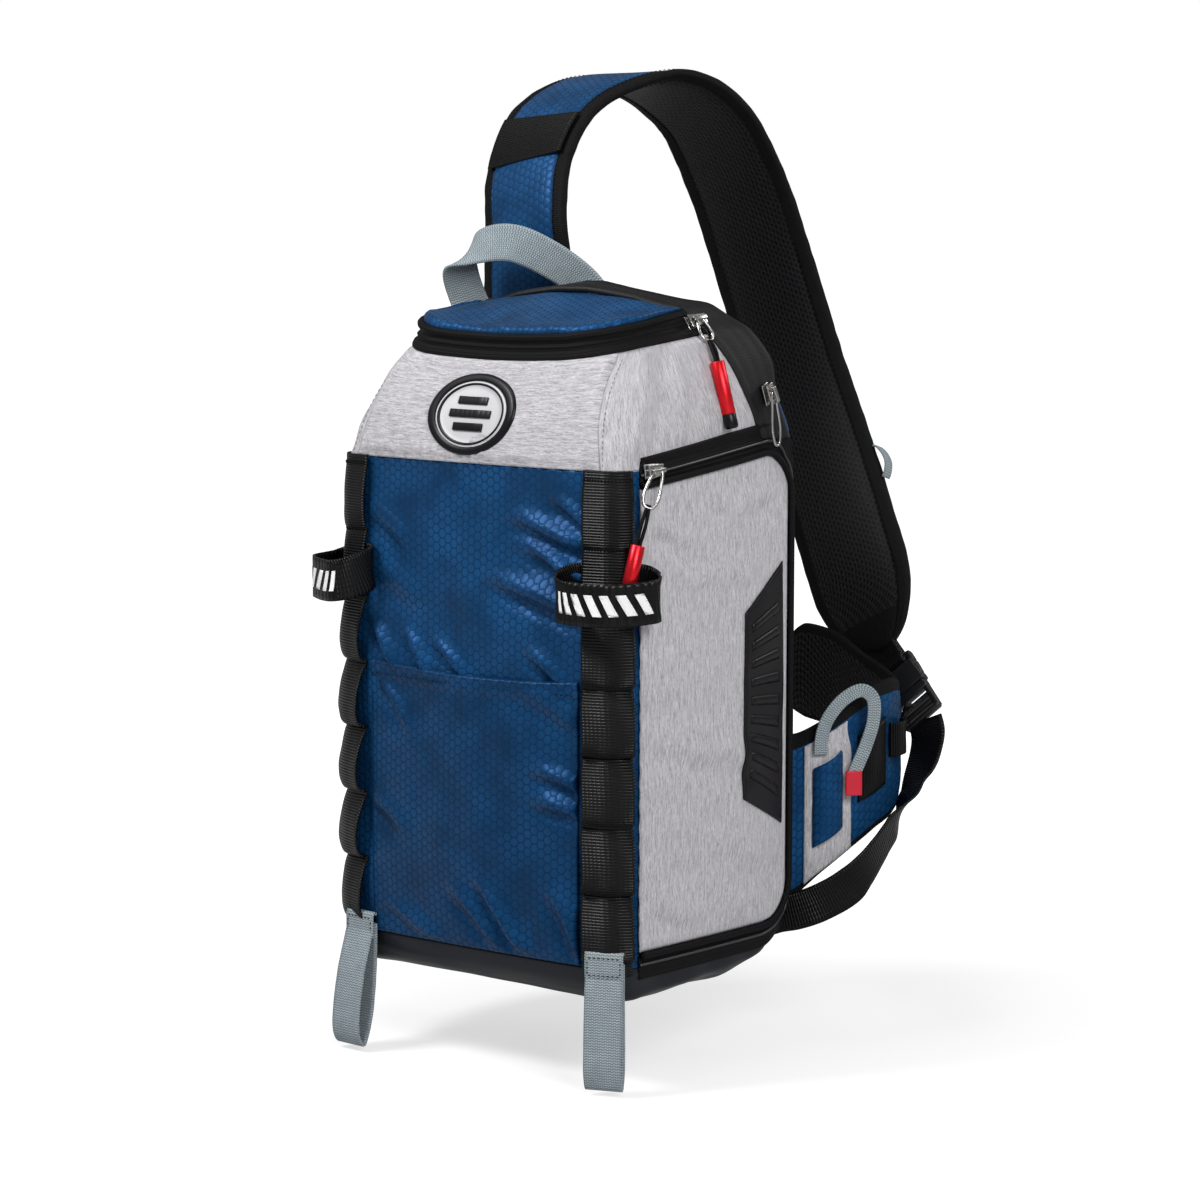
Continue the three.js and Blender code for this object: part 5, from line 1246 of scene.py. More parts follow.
def tray_row(s, t):
    """Along and height of a place on the tray panel, whose rear corners are round."""
    top = mix(TRAY_TOP_FRONT, TRAY_TOP_REAR, s)
    total = top - TRAY_BOTTOM
    near = min(t, 1 - t) * total
    cut = TRAY_CORNER - math.sqrt(max(TRAY_CORNER ** 2 - (TRAY_CORNER - min(near, TRAY_CORNER)) ** 2, 0))
    return TRAY_FRONT + s * (TRAY_LENGTH - cut), TRAY_BOTTOM + t * total


def build_tray():
    def place(s, t):
        along, height = tray_row(s, t)
        return side_point(height, along, 0.8)

    def lift(s, t, p):
        along, height = tray_row(s, t)
        return 0.8 + tray_stand(along, height) + 0.35 * math.sin(height * 0.45) * (1
                - ease(0, 9, s * TRAY_LENGTH))

    def mapped(s, t, p):
        along, height = tray_row(s, t)
        return (height, along)

    cloth("tray_panel", place, 76, 144, "grey", wall=1.4, lift=lift, uv=mapped,
            replaces=("side_pocket_panel",), out=Vector((0, 0, 180)))
    # The bead stands round the panel
    bead = [side_point(z, a, 2.9) for a, z in tray_shape(2.3, 2.3, 2.3)]
    pipe("tray_piping", bead, 2.2, "binding", replaces=("side_pocket_piping",))
    inner, outer = tray_shape(2.8, 2.8, 2.8), tray_shape(19.5, 11.5, 18.4)
    last = len(inner) - 1
    columns = [0, 0.06, 0.14, 0.24, 0.30, 0.36, 0.42, 0.48, 0.60, 0.78, 0.84, 0.9, 0.96, 1.0]
    rise = [0.2, 0.5, 0.5, 0.1, 0.8, 1.2, 0.8, 0.1, 0.4, 0.5, 0.9, 1.5, 1.2, -0.3]
    limit = front_reach()

    def band_place(s, t):
        k = round(s * last)
        share = float(columns[round(t * (len(columns) - 1))])
        a, z = (mix(p, q, share) for p, q in zip(inner[k], outer[k]))
        return side_point(z, min(a, limit), 0.7)

    def band_lift(s, t, p):
        return rise[round(t * (len(columns) - 1))] + 0.3 * ripple(p, 18, 43.0)

    widths = np.cumsum([0.0] + [math.dist(a, b) for a, b in zip(inner, inner[1:])])
    cloth("tray_zip_band", band_place, last, len(columns) - 1, "tape", lift=band_lift,
          uv=lambda s, t, p: (float(np.interp(s * last, range(last + 1), widths)), t * 15),
          replaces=("side_pocket_zip_band",), out=Vector((0, 0, 180)))
    coil = [side_point(mix(p[1], q[1], 0.36), min(mix(p[0], q[0], 0.36), limit), 2.0)
            for p, q in zip(inner, outer)]
    pipe("tray_zip_coil", coil, 0.9, "coil", 8)
    patch()


def front_reach():
    """How far back along the side a piece may run before the rear corner turns too far."""
    section = section_at(180)
    return section[3] - section[2] - 2 * section[4] + section[4] * math.pi / 2 * 0.8


PATCH = ((148.5, 91.7), (148.5, 265.0), (104.0, 235.0), (101.7, 114.0))


def patch_spot(u, v):
    """Place on the grip patch: u from its rear to its front edge, v up it, as along and height."""
    rear = [mix(a, b, v) for a, b in zip(PATCH[0], PATCH[1])]
    front = [mix(a, b, v) for a, b in zip(PATCH[3], PATCH[2])]
    return tuple(mix(a, b, u) for a, b in zip(rear, front))


def patch():
    """Rubber patch with plain raised bars."""
    def place(s, t):
        a, z = patch_spot(s, t)
        return side_point(z, a, 2.2 + tray_stand(a, z))

    def lift(s, t, p):
        edge = min(s * 45, (1 - s) * 45, t * 150, (1 - t) * 150)
        return 0.2 + 1.1 * ease(0, 1.6, edge)

    cloth("grip_patch", place, 30, 90, "rubber", wall=0.8, lift=lift, replaces=("side_grip_patch",),
            out=Vector((0, 0, 180)))
    bm = bmesh.new()
    for k in range(9):
        part = bmesh.new()
        bmesh.ops.create_grid(part, x_segments=14, y_segments=4, size=1.0)
        for vert in part.verts:
            u, v = (vert.co.x + 1) / 2, (vert.co.y + 1) / 2
            across = mix(0.14, 0.86, u)
            up = 0.11 + k * 0.092 + 0.045 * v + 0.05 * (across - 0.5)
            a, z = patch_spot(across, clamp(up, 0.06, 0.95))
            edge = min(u * 32, (1 - u) * 32, v * 7, (1 - v) * 7)
            vert.co = side_point(z, a, 3.2 + tray_stand(a, z) + 0.9 * ease(0, 0.9, edge))
        gather(bm, part)
    bmesh.ops.solidify(bm, geom=bm.faces[:], thickness=0.4)
    bmesh.ops.recalc_face_normals(bm, faces=bm.faces)
    bm.loops.layers.uv.verify()
    finished(bm, "grip_patch_bars", ("rubber",), merge=1e-4)


def build_bottle():
    foot, top, depth = BOOT_HEIGHT + 6.0, 205.0, 36.0

    def stand(t, height):
        rise = math.sqrt(clamp((height - foot) / (top - foot)))
        return depth * max(math.sin(math.pi * clamp(t)), 0.0) ** 0.4 * mix(0.55, 1, rise)

    def spot(s, height, offset):
        return skin(height, 7 - mix(0.04, 0.96, s), offset)

    columns = [0, 0.01, 0.025, 0.05, 0.08, 0.12] + list(np.linspace(0.16, 0.84, 30)) + [0.88, 0.92, 0.95,
            0.975, 0.99, 1]
    at = rounded_w(columns)

    def place(s, t):
        # The first rows close the floor
        if t < 0.12:
            share = t / 0.12
            return spot(at(s), foot, 0.5 + stand(at(s), foot) * share)
        height = mix(foot, top, (t - 0.12) / 0.88)
        return spot(at(s), height, 0.5 + stand(at(s), height))

    def lift(s, t, p):
        edge = ease(0, 0.08, s) * ease(0, 0.08, 1 - s)
        gather = 1.2 * math.sin(p.y * 0.42) * ease(0.82, 1.0, t)
        return 0.3 + edge * (1.3 * ripple(p, 36, 51.0) + 0.4 * ripple(p, 15, 52.0) + gather)

    cloth("bottle_pocket_mesh", place, len(columns) - 1, 70, "mesh", lift=lift, out=Vector((-40, 0, 120)),
            replaces=("side_bottle_pocket",))
    rim = [spot(float(s), top - 1.0, 1.4 + stand(float(s), top)) for s in np.linspace(0, 1, 90)]
    pipe("bottle_pocket_binding", rim, 2.4, "binding", 10)


def build_back_pad():
    low, high = 48.0, 392.0

    def place(s, t):
        return skin(mix(low, high, t), 4 + mix(0.02, 0.98, s), 0.6)

    def lift(s, t, p):
        rim = ease(0, 0.1, s) * ease(0, 0.1, 1 - s) * ease(0, 0.06, t) * ease(0, 0.06, 1 - t)
        full = 3.0 + 6.0 * rim
        spine = 1 - 0.55 * bump(p.x, 0, 9)
        rungs = 1.0
        for z in (110, 172, 234, 296, 350):
            rungs -= 0.5 * bump(p.z - 0.12 * abs(p.x), z, 5)
        return 0.6 + full * (1 - rim * (1 - spine * max(rungs, 0.2))) + 0.4 * ripple(p, 40, 61.0)

    cloth("back_pad_mesh", place, 80, 110, "mesh", lift=lift, replaces=("back_pad",))


# Shoulder strap: shift, reach, rise and drop shares, width direction
STRAP_PATH = (
    (0.00, -0.005, 0, 0.10, 1, 0.05, 0), (0.00, -0.01, 0, 0, 1, 0.05, 0),
    (-0.03, 0.00, 0.37, 0, 0.99, -0.12, 0),
    (-0.078, 0.068, 0.622, 0, 0.99, -0.12, 0), (-0.106, 0.223, 0.869, 0, 1, -0.06, 0),
    (-0.072, 0.422, 0.998, 0, 1, 0, 0),
    (-0.006, 0.592, 1.004, 0, 1, 0.05, 0.05), (0.115, 0.762, 0.858, 0, 0.99, 0.1, 0.12),
    (0.16, 0.908, 0.546, 0, 0.97, 0.14, 0.2),
    (0.24, 0.99, 0.11, 0, 0.95, 0.17, 0.25), (0.382, 1.005, 0, 0.215, 0.93, 0.18, 0.32),
    (0.593, 0.956, 0, 0.487, 0.9, 0.2, 0.38),
    (0.793, 0.883, 0, 0.725, 0.88, 0.2, 0.42), (1.00, 0.796, 0, 0.957, 0.86, 0.2, 0.45),
)
STRAP_STEPS = 312
STRAP_WIDTH, STRAP_THICK = 78.0, 12.0
STRAP_ROWS = [(Vector((-80 + r[0] * 176, 58 + r[1] * 206, 430 + r[2] * 146 - r[3] * 252)), r[4:])
        for r in STRAP_PATH]
STRAP = stations(STRAP_ROWS, STRAP_STEPS)


def strap_end(t):
    return 1.0 if t < 0.93 else math.sqrt(max(1 - ((t - 0.93) / 0.07 * 0.985) ** 2, 0.004))


def build_strap():
    half = STRAP_WIDTH / 2
    # Round the section: share across, share through; the outer face is at -1
    face = [(-1.0, 0.0), (-0.995, -0.28), (-0.97, -0.46), (-0.93, -0.54), (-0.87, -0.60), (-0.80, -0.66),
            (-0.775, -0.70), (-0.765, -0.58), (-0.72, -0.72)]
    inner = [(-0.55, -0.88), (-0.3, -0.97), (0, -1.0), (0.3, -0.97), (0.55, -0.88)]
    lower = face + inner + [(-a, b) for a, b in reversed(face)]
    ring = lower + [(a, -b) for a, b in reversed(lower[1:-1])]
    count = len(ring)

    def outline(k):
        t = k / STRAP_STEPS
        at, wide, normal = STRAP[k]
        out = []
        for a, b in ring:
            grow = strap_end(t)
            edge = abs(a) > 0.76
            ruffle = 0.45 * ripple(at + wide * a * half, 8.5, 71.0) if edge else 0.5 * ripple(at
                    + wide * a * half, 30, 72.0)
            across = a * half * grow + (0.5 * ripple(at, 10, 73.0 + (a > 0)) if abs(a) > 0.9 else 0)
            through = b * STRAP_THICK / 2 * (0.55 + 0.45 * grow) + (ruffle if b < 0 else -ruffle) * 0.8
            out.append((across, through))
        return out

    def paint(s, t):
        a, b = ring[int(s * count) % count]
        c, d = ring[(int(s * count) + 1) % count]
        if min(abs(a), abs(c)) > 0.75 or t > 0.975:
            return 2
        return 0 if b + d < 0 else 1

    strap = sweep("strap", STRAP, outline, ("navy", "mesh", "binding"), replaces=("strap_pad",),
            paint=paint)
    lines = []
    for side in (-1, 1):
        for lift in (-STRAP_THICK / 2 * 0.74, STRAP_THICK / 2 * 0.74):
            lines.append([at + wide * (side * 0.80 * half * strap_end(k / STRAP_STEPS)) + normal * lift
                    for k, (at, wide, normal) in enumerate(STRAP[4:300:2])])
    stitches("strap_stitching", lines, space=1.1, radius=0.3)


def on_strap(low, high, lift):
    """Strap steps of the frame's source, lifted off the outer face."""
    return [(at - normal * lift, wide, normal) for at, wide, normal in STRAP[low * 6:high * 6 + 1]]


def build_strap_trim():
    ribbon("strap_band", None, 0.85 * STRAP_WIDTH, 1.4, "webbing", columns=24,
            path=on_strap(12, 15, STRAP_THICK / 2 + 0.5), spacing=2.6, replaces=("strap_keeper_band",))
    at, wide, normal = STRAP[44 * 6]
    down = (STRAP[47 * 6][0] - at).normalized()
    rows = [(at + wide * (STRAP_WIDTH / 2 + 0.8 + out) + down * drop, normal)
            for out, drop in ((0.5, 0), (2.5, 2), (5.5, 9), (5.8, 16), (2.5, 23), (0.5, 25))]
    ribbon("strap_loop", rows, 9, 1.5, "grey_webbing", spacing=1.0, columns=6,
            replaces=("strap_side_loop",))


# The wing: out or in, back, lower and upper edge shares
WING_PATH = (
    (-0.176, -0.02, 0.165, 0.709), (-0.082, 0.055, 0.180, 0.712), (0.18, 0.16, 0.252, 0.752),
    (0.515, 0.343, 0.330, 0.815),
    (0.70, 0.514, 0.388, 0.864), (0.727, 0.667, 0.422, 0.874), (0.515, 0.819, 0.466, 0.859),
    (-0.012, 0.933, 0.544, 0.883),
    (-0.27, 0.981, 0.607, 0.922), (-0.576, 1.00, 0.660, 0.985), (-0.835, 0.99, 0.680, 1.00),
    (-0.988, 0.981, 0.709, 0.961),
)
WING_TOP, WING_THICK = 206.0, 9.0
WING_PLAN = Curve([(HALF_WIDTH + (x * 85 if x < 0 else x * 33), REAR_DEPTH + y * 105, 0)
        for x, y, _, _ in WING_PATH])
WING_EDGES = Curve([(low * WING_TOP, high * WING_TOP, 0) for _, _, low, high in WING_PATH])


def wing_out(s):
    tangent = WING_PLAN.tangent(s)
    return Vector((tangent.y, -tangent.x, 0))


def wing_point(s, v, offset):
    place, edges = WING_PLAN.point(s), WING_EDGES.point(s)
    at = place + wing_out(s) * offset
    return Vector((at.x, at.y, mix(edges.x, edges.y, v)))


def build_wing():
    count = 150
    face = [0.0, 0.008, 0.02, 0.05, 0.09, 0.16, 0.26, 0.38, 0.5, 0.62, 0.74, 0.84, 0.905, 0.915, 0.95, 0.98,
            0.992, 1.0]
    thick = [0.0, 0.42, 0.56, 0.64, 0.74, 0.86, 0.95, 1.0, 1.0, 1.0, 0.95, 0.86, 0.76, 0.70, 0.66, 0.58,
            0.42, 0.0]
    ring = list(zip(face, thick)) + [(v, -b) for v, b in list(zip(face, thick))[-2:0:-1]]
    steps = []
    for k in range(count + 1):
        s = k / count
        steps.append((wing_point(s, 0.5, 0), Vector((0, 0, 1)), wing_out(s)))

    def outline(k):
        s = k / count
        edges = WING_EDGES.point(s)
        high = edges.y - edges.x
        out = []
        for v, b in ring:
            end = math.sqrt(max(1 - (max(s - 0.965, 0) / 0.035) ** 2, 0.02))
            wave = 0.9 * ripple((s * 230, v * high, b * 40), 34, 81.0) * (1 - abs(2 * v - 1) ** 3)
            out.append(((v - 0.5) * high * (0.72 + 0.28 * end), b * WING_THICK / 2 * end + wave))
        return out

    def paint(s, t):
        v, b = ring[int(s * len(ring)) % len(ring)]
        w, c = ring[(int(s * len(ring)) + 1) % len(ring)]
        if min(v, w) > 0.90 or max(v, w) < 0.055 or t > 0.985:
            return 2
        return 0 if b + c > 0 else 1

    wing = sweep("wing", steps, outline, ("navy", "mesh", "binding"), replaces=("hip_wing_pad",),
            paint=paint, uv_turn=True)
    on_wing = WING_THICK / 2 + 0.5

    def insert(s, t):
        cut = 0.012 * ease(0.72, 0.95, t) if s > 0.5 else 0
        return wing_point(mix(0.127, 0.264 - cut, s), mix(0.03, 0.90, t), on_wing)

    cloth("wing_insert", insert, 24, 40, "grey", lift=lambda s, t,
            p: 0.8 * min(1, 12 * min(s, 1 - s, t, 1 - t)) + 0.3 * ripple(p, 16, 82.0),
          uv=lambda s, t, p: (t * 100, s * 30), replaces=("wing_front_insert",), out=Vector((60, 60, 90)))

    def tool(s, t):
        along = mix(0.155, 0.236, s)
        return wing_point(along, mix(0.225, 0.735, t), on_wing + 2.0 + 4.2 * math.sin(math.pi * s) ** 0.7)

    cloth("wing_tool_sleeve", tool, 20, 30, "navy", wall=1.1, lift=lambda s, t,
            p: 0.3 * ripple(p, 12, 83.0) - 1.0 * bump(t, 1.0, 0.02),
          replaces=("wing_tool_pocket",), out=Vector((60, 60, 90)))
    for name, low, high, foot, head, stand in (("near", 0.285, 0.395, 0.30, 0.755, 4),
            ("far", 0.41, 0.49, 0.46, 0.70, 7)):
        def elastic(s, t, low=low, high=high, foot=foot, head=head, stand=stand):
            return wing_point(mix(low, high, s), mix(foot, head, t), on_wing + 0.4
                    + stand * math.sin(math.pi * s) ** 0.6)

        cloth("wing_elastic_" + name + "_band", elastic, 26, 12, "webbing", wall=1.4, lift=lambda s, t,
                p: 0.4 * ripple(p, 10, 84.0),
              uv=lambda s, t, p: (t * 40, s * 34), replaces=("wing_elastic_" + name,),
              out=Vector((60, 60, 90)))


LANYARD = (
    (0.175, 0.80, 1.2, 0.6, 0.8, 0), (0.177, 0.92, 3, 0.6, 0.8, 0), (0.19, 1.03, 6, 0.5, 0.66, -0.5),
    (0.225, 1.11, 9, 0.2, 0.25, -0.95),
    (0.265, 1.10, 11, -0.2, -0.25, -0.95), (0.295, 1.01, 12, -0.5, -0.66, -0.5),
    (0.30, 0.86, 11.5, -0.6, -0.8, -0.1),
    (0.285, 0.72, 9.5, -0.6, -0.8, 0), (0.25, 0.56, 8, -0.6, -0.8, 0),
)


def build_lanyard():
    on_insert = WING_THICK / 2 + 0.3 + 1.5 + 0.3
    rows = [(wing_point(s, v, on_insert + lift + 0.6), wide) for s, v, lift, *wide in LANYARD]
    ribbon("lanyard", rows, 9, 1.2, "grey_webbing", spacing=1.2, replaces=("wing_lanyard_loop",))
    s, v, lift = LANYARD[-1][:3]
    tag = [(wing_point(s, v + 0.025 - k * 0.055, on_insert + lift + 0.6), LANYARD[-1][3:])
            for k in range(4)]
    ribbon("tag", tag, 11, 1.8, "tag", spacing=1.0, replaces=("wing_tag",))


# Buckle and its webbings
TIP_AT, TIP_WIDE, _ = STRAP[-1]
BUCKLE_ALONG = Vector((0.72, -0.2, -0.66)).normalized()
BUCKLE_WIDE = (TIP_WIDE - BUCKLE_ALONG * TIP_WIDE.dot(BUCKLE_ALONG)).normalized()
BUCKLE_NORMAL = BUCKLE_ALONG.cross(BUCKLE_WIDE)
LOWER_WEB = (
    (0.00, 0.00, 0.00, 0.7, 0.3, 0.7), (-0.13, 0.03, 0.08, 0.7, 0.3, 0.5),
    (-0.23, 0.12, 0.21, 0.7, 0.2, 0.35), (-0.30, 0.262, 0.345, 0.15, 0.6, 0.75),
    (-0.32, 0.447, 0.54, 0.1, 0.5, 0.85), (-0.205, 0.756, 0.80, 0.1, 0.3, 0.95),
    (0.154, 0.878, 0.90, 0.15, 0.1, 0.98), (0.564, 0.927, 0.958, 0, 0, 1),
    (0.872, 0.96, 0.983, 0, 0, 1), (1.00, 1.00, 1.00, 0, 0, 1), (1.10, 1.05, 1.01, 0, 0, 1),
)


def buckle_spot(along, across=0.0, up=0.0):
    return TIP_AT + BUCKLE_ALONG * along + BUCKLE_WIDE * across + BUCKLE_NORMAL * up


def build_webbings():
    plug_end = buckle_spot(14.3 + 25 + 0.3 + 24 + 0.3)
    anchor = Vector((HALF_WIDTH * 0.866, REAR_DEPTH * 0.896, 24))
    rows = [(Vector([mix(a, b, t) for a, b, t in zip(plug_end, anchor, row[:3])]), row[3:])
            for row in LOWER_WEB]
    ribbon("lower_web", rows, 25, 1.6, "webbing", columns=10, replaces=("lower_webbing",), wave=0.3)
    face = buckle_spot(39.6 + 24 * 0.6, 0, 3.6 + 3.4)
    hold = wing_point(0.56, 0.66, WING_THICK / 2 + 0.3 + 0.8)
    rows = [(face, BUCKLE_WIDE), (face.lerp(hold, 0.5), BUCKLE_WIDE), (hold, Vector((0.3, 0.2, 0.9)))]
    ribbon("wing_web", rows, 20, 1.6, "webbing", spacing=1.6, replaces=("wing_webbing",))


# Grab handle: shares of half width and rear depth, rise above the bag, width direction
HANDLE = (
    (-0.12, 0.50, -0.35, 0.7, 0.1, 0.7), (-0.20, 0.47, 0.05, 0.6, 0, 0.8),
    (-0.38, 0.36, 0.62, 0.35, 0.05, 1), (-0.58, 0.25, 0.98, 0.3, 0.25, 1),
    (-0.80, 0.19, 0.84, 0.35, 0.42, 0.9), (-0.94, 0.22, 0.42, 0.5, 0.6, 0.6),
    (-0.95, 0.30, -0.30, 0.68, 0.68, 0.2), (-0.86, 0.37, -1.20, 0.72, 0.65, 0),
    (-0.78, 0.39, -1.60, 0.72, 0.65, 0),
)


def build_handle():
    rows = [(Vector((x * HALF_WIDTH, y * REAR_DEPTH, BAG_HEIGHT + z * 28)), wide)
            for x, y, z, *wide in HANDLE]
    ribbon("handle", rows, 25, 1.6, "grey_webbing", spacing=1.8, columns=12, replaces=("grab_handle",),
            wave=0.2)


# Moulded and metal pieces


def block(at, across, along, size, soft=0.7, taper=1.0, lean=0.0):
    """A moulded bar: a cube brought to size, narrower at its far end, with rounded edges.

    across and along are its own directions, and lean tilts its top along it.
    """
    out = across.cross(along).normalized()
    bm = bmesh.new()
    bmesh.ops.create_cube(bm, size=1.0)
    for vert in bm.verts:
        if vert.co.y > 0:
            vert.co.x *= taper
        vert.co.y += lean * vert.co.z
    bmesh.ops.scale(bm, vec=size, verts=bm.verts)
    bmesh.ops.bevel(bm, geom=bm.edges[:], offset=soft, segments=3, profile=0.5, affect="EDGES", material=-1)
    turn = Matrix((across, along, out)).transposed().to_4x4()
    bmesh.ops.transform(bm, matrix=Matrix.Translation(at) @ turn, verts=bm.verts)
    return bm


def moulded(name, parts, finish, replaces=()):
    """One piece made of several blocks."""
    bm = bmesh.new()
    for part in parts:
        gather(bm, part)
    bm.loops.layers.uv.verify()
    return finished(bm, name, (finish,), replaces, merge=1e-4)


# Steps round a wire loop, sides of its wire, and sides of a turned bar
RING_STEPS, RING_SIDES, BAR_SIDES = 60, 10, 28


def ring(name, points, facing, radius, finish, replaces=()):
    """A closed loop of wire through points that lie about in a plane."""
    loop = Curve(points, 0.4, closed=True)
    steps = []
    for k in range(RING_STEPS + 1):
        t = (k % RING_STEPS) / RING_STEPS
        tangent = loop.tangent(t)
        wide = (facing - tangent * facing.dot(tangent)).normalized()
        steps.append((loop.point(t), wide, tangent.cross(wide)))
    outline = circle(radius, RING_SIDES)
    return sweep(name, steps, lambda k: outline, finish, replaces, closed=True)


def turned_bar(name, start, end, profile, finish, replaces=()):
    """A turned bar between two points: rows of distance from the start and radius, in millimetres."""
    along = (end - start).normalized()
    wide = along.orthogonal().normalized()
    steps = [(start + along * d, wide, along.cross(wide)) for d, _ in profile]

    return sweep(name, steps, lambda k: circle(profile[k][1], BAR_SIDES), finish, replaces)


def zip_slider(name, at, out, along, replaces):
    """Zip slider: two plates on a post, wide in front, and a bridge over the top one."""
    out = (out - along * out.dot(along)).normalized()
    across = along.cross(out).normalized()
    parts = []
    # Its plates, post, two bridge feet and bridge: height, place along, size
    for high, shift, size, taper in (
        (0.5, 0, (9.4, 14.0, 1.3), 0.72), (4.3, 0, (9.4, 14.0, 1.5), 0.72),
        (2.4, -4.4, (2.6, 3.6, 3.8), 1.0),
        (6.0, -5.0, (3.0, 2.0, 3.2), 1.0), (6.0, 4.4, (3.0, 2.0, 3.2), 1.0),
        (7.6, -0.3, (3.0, 11.2, 1.5), 1.0),
    ):
        parts.append(block(at + out * high + along * shift, across, along, size, 0.5, taper))
    return moulded(name, parts, "metal", (replaces,))


def pull(name, hook, tail, start, end, facing):
    """Zip pull: a wire loop at the slider, two cords to a red tube, and the tube's black cap."""
    axis = (tail - hook).normalized()
    side = facing.cross(axis).normalized()
    loop = [hook + side * 1.6, hook + axis * 3 + side * 3.2, hook.lerp(tail, 0.7) + side * 5.0,
            tail + side * 2.8, tail - side * 2.8,
            hook.lerp(tail, 0.7) - side * 5.0, hook + axis * 3 - side * 3.2, hook - side * 1.6]
    ring(name + "_bail", loop, facing, 1.1, "metal")
    down = (end - start).normalized()
    for k, offset in enumerate((1.1, -1.1)):
        points = [tail - axis * 1.2 + side * offset * 0.6, tail.lerp(start, 0.5) + side * offset * 1.3
                + facing * 0.8, start + side * offset, start + down * 4 + side * offset]
        pipe(name + ("_cord" if k == 0 else "_cord_back"), points, 1.15, "cord", 10, (name + "_cord",)
                if k == 0 else (), 24)
    length = (end - start).length - 9.5
    tube = [(0, 3.1), (0.05, 4.2), (0.5, 4.6), (length - 0.4, 4.6), (length, 4.3), (length, 3.8)]
    turned_bar(name + "_tube", start, end, tube, "red", (name + "_tube",))
    cap = [(length - 0.2, 3.9), (length, 4.35), (length + 0.4, 4.55), (length + 7.8, 4.5),
            (length + 9.0, 4.0), (length + 9.5, 3.0)]
    turned_bar(name + "_cap", start, end, cap, "rubber")


def build_lid_pull():
    out = Vector((0.85, -0.15, 0.5)).normalized()
    at = skin((BELT_HEIGHT + BELT_TOP) / 2, 2.56, 1.6)
    zip_slider("lid_slider", at, out, Vector((0.15, 0.97, 0.12)).normalized(), "lid_slider")
    start, end = skin(BELT_HEIGHT - 14, 2.54, 6.0), skin(BELT_HEIGHT - 14 - TUBE_LENGTH, 2.585, 6.6)
    hook = at + out * 6.0
    pull("lid_pull", hook, hook.lerp(start, 0.5) + out * 0.5, start, end, out)


def build_side_pull():
    out = Vector((1, 0, 0))
    at = side_point(TRAY_TOP_FRONT + 12, TRAY_FRONT + 8, 2.6)
    zip_slider("side_slider", at, out, Vector((0, 0.99, 0.1)).normalized(), "side_slider")
    height, reach, over = TRAY_TOP_FRONT - 33, DAISY_INNER + DAISY_WIDTH, 11.0
    start, end = front_point(height, reach - 5, over + 1), front_point(height - TUBE_LENGTH, reach - 10,
            over + 3)
    hook = at + out * 6.4
    pull("side_pull", hook, hook.lerp(start, 0.48) + Vector((1.0, -2.0, 0)), start, end,
            Vector((0.75, -0.65, 0)))


def build_rear_pull():
    def spot(height, depth, lift):
        section = section_at(height)
        return side_point(height, depth - section[2] - section[4], lift)

    out = Vector((1, 0, 0.1)).normalized()
    at = spot(ARCH_FOOT + 24, ARCH_FOOT_DEPTH + 3, 3.4)
    zip_slider("rear_slider", at, out, Vector((0, -0.45, 0.89)).normalized(), "rear_slider")
    hook, tail = at + out * 5.6, spot(ARCH_FOOT - 4, ARCH_FOOT_DEPTH + 9, 6.4)
    axis = (tail - hook).normalized()
    side = out.cross(axis).normalized()
    loop = [hook + side * 1.5, hook.lerp(tail, 0.3) + side * 2.6, hook.lerp(tail, 0.7) + side * 4.2,
            tail + side * 2.2, tail - side * 2.2,
            hook.lerp(tail, 0.7) - side * 4.2, hook.lerp(tail, 0.3) - side * 2.6, hook - side * 1.5]
    ring("rear_pull_loop", loop, out, 0.95, "metal", ("rear_pull",))


# The badge from its middle out: share of its radius, height, finish (window, rubber)
BADGE_STEPS = (
    (0.0, 1.3, 0), (0.3, 1.3, 0), (0.6, 1.3, 0), (0.70, 1.3, 0), (0.715, 1.9, 1), (0.76, 1.9, 1),
    (0.775, 1.4, 0), (0.80, 1.4, 0),
    (0.815, 2.0, 1), (0.86, 2.3, 1), (0.94, 2.4, 1), (0.975, 2.1, 1), (0.99, 1.4, 1), (1.0, 0.3, 1),
)
BADGE_SIZE = (37.0, 28.0)


def badge_spot(angle, share, lift):
    x, z = share * BADGE_SIZE[0] * math.cos(angle), share * BADGE_SIZE[1] * math.sin(angle)
    return front_point(SEAM_HEIGHT + 33 + z, x - 5.0, 1.2 + lift)


def build_badge():
    last = len(BADGE_STEPS) - 1

    def place(s, t):
        share, lift, _ = BADGE_STEPS[round(t * last)]
        return badge_spot(2 * math.pi * s, share, lift)

    cloth("badge_plate", place, 96, last, ("window", "rubber"), wall=0.8, loop=True, replaces=("badge",),
          uv=lambda s, t, p: (p.x, p.z), paint=lambda s, t: BADGE_STEPS[min(int(t * last) + 1, last)][2],
          out=Vector((0, 0, 366)))
    parts = []
    for k, half in ((-1, 12.0), (0, 17.0), (1, 12.0)):
        for a in np.linspace(-half + 3, half - 3, 4 + int(half / 4)):
            at = front_point(SEAM_HEIGHT + 33 + k * 9.0, -5.0 + float(a), 2.9)
            up = (front_point(SEAM_HEIGHT + 36 + k * 9.0, -5.0 + float(a), 2.9) - at).normalized()
            parts.append(block(at, Vector((1, 0, 0)), up, (6.6 if half > 6 else 6, 5.2, 1.6), 0.4))
    moulded("badge_bars", parts, "rubber")


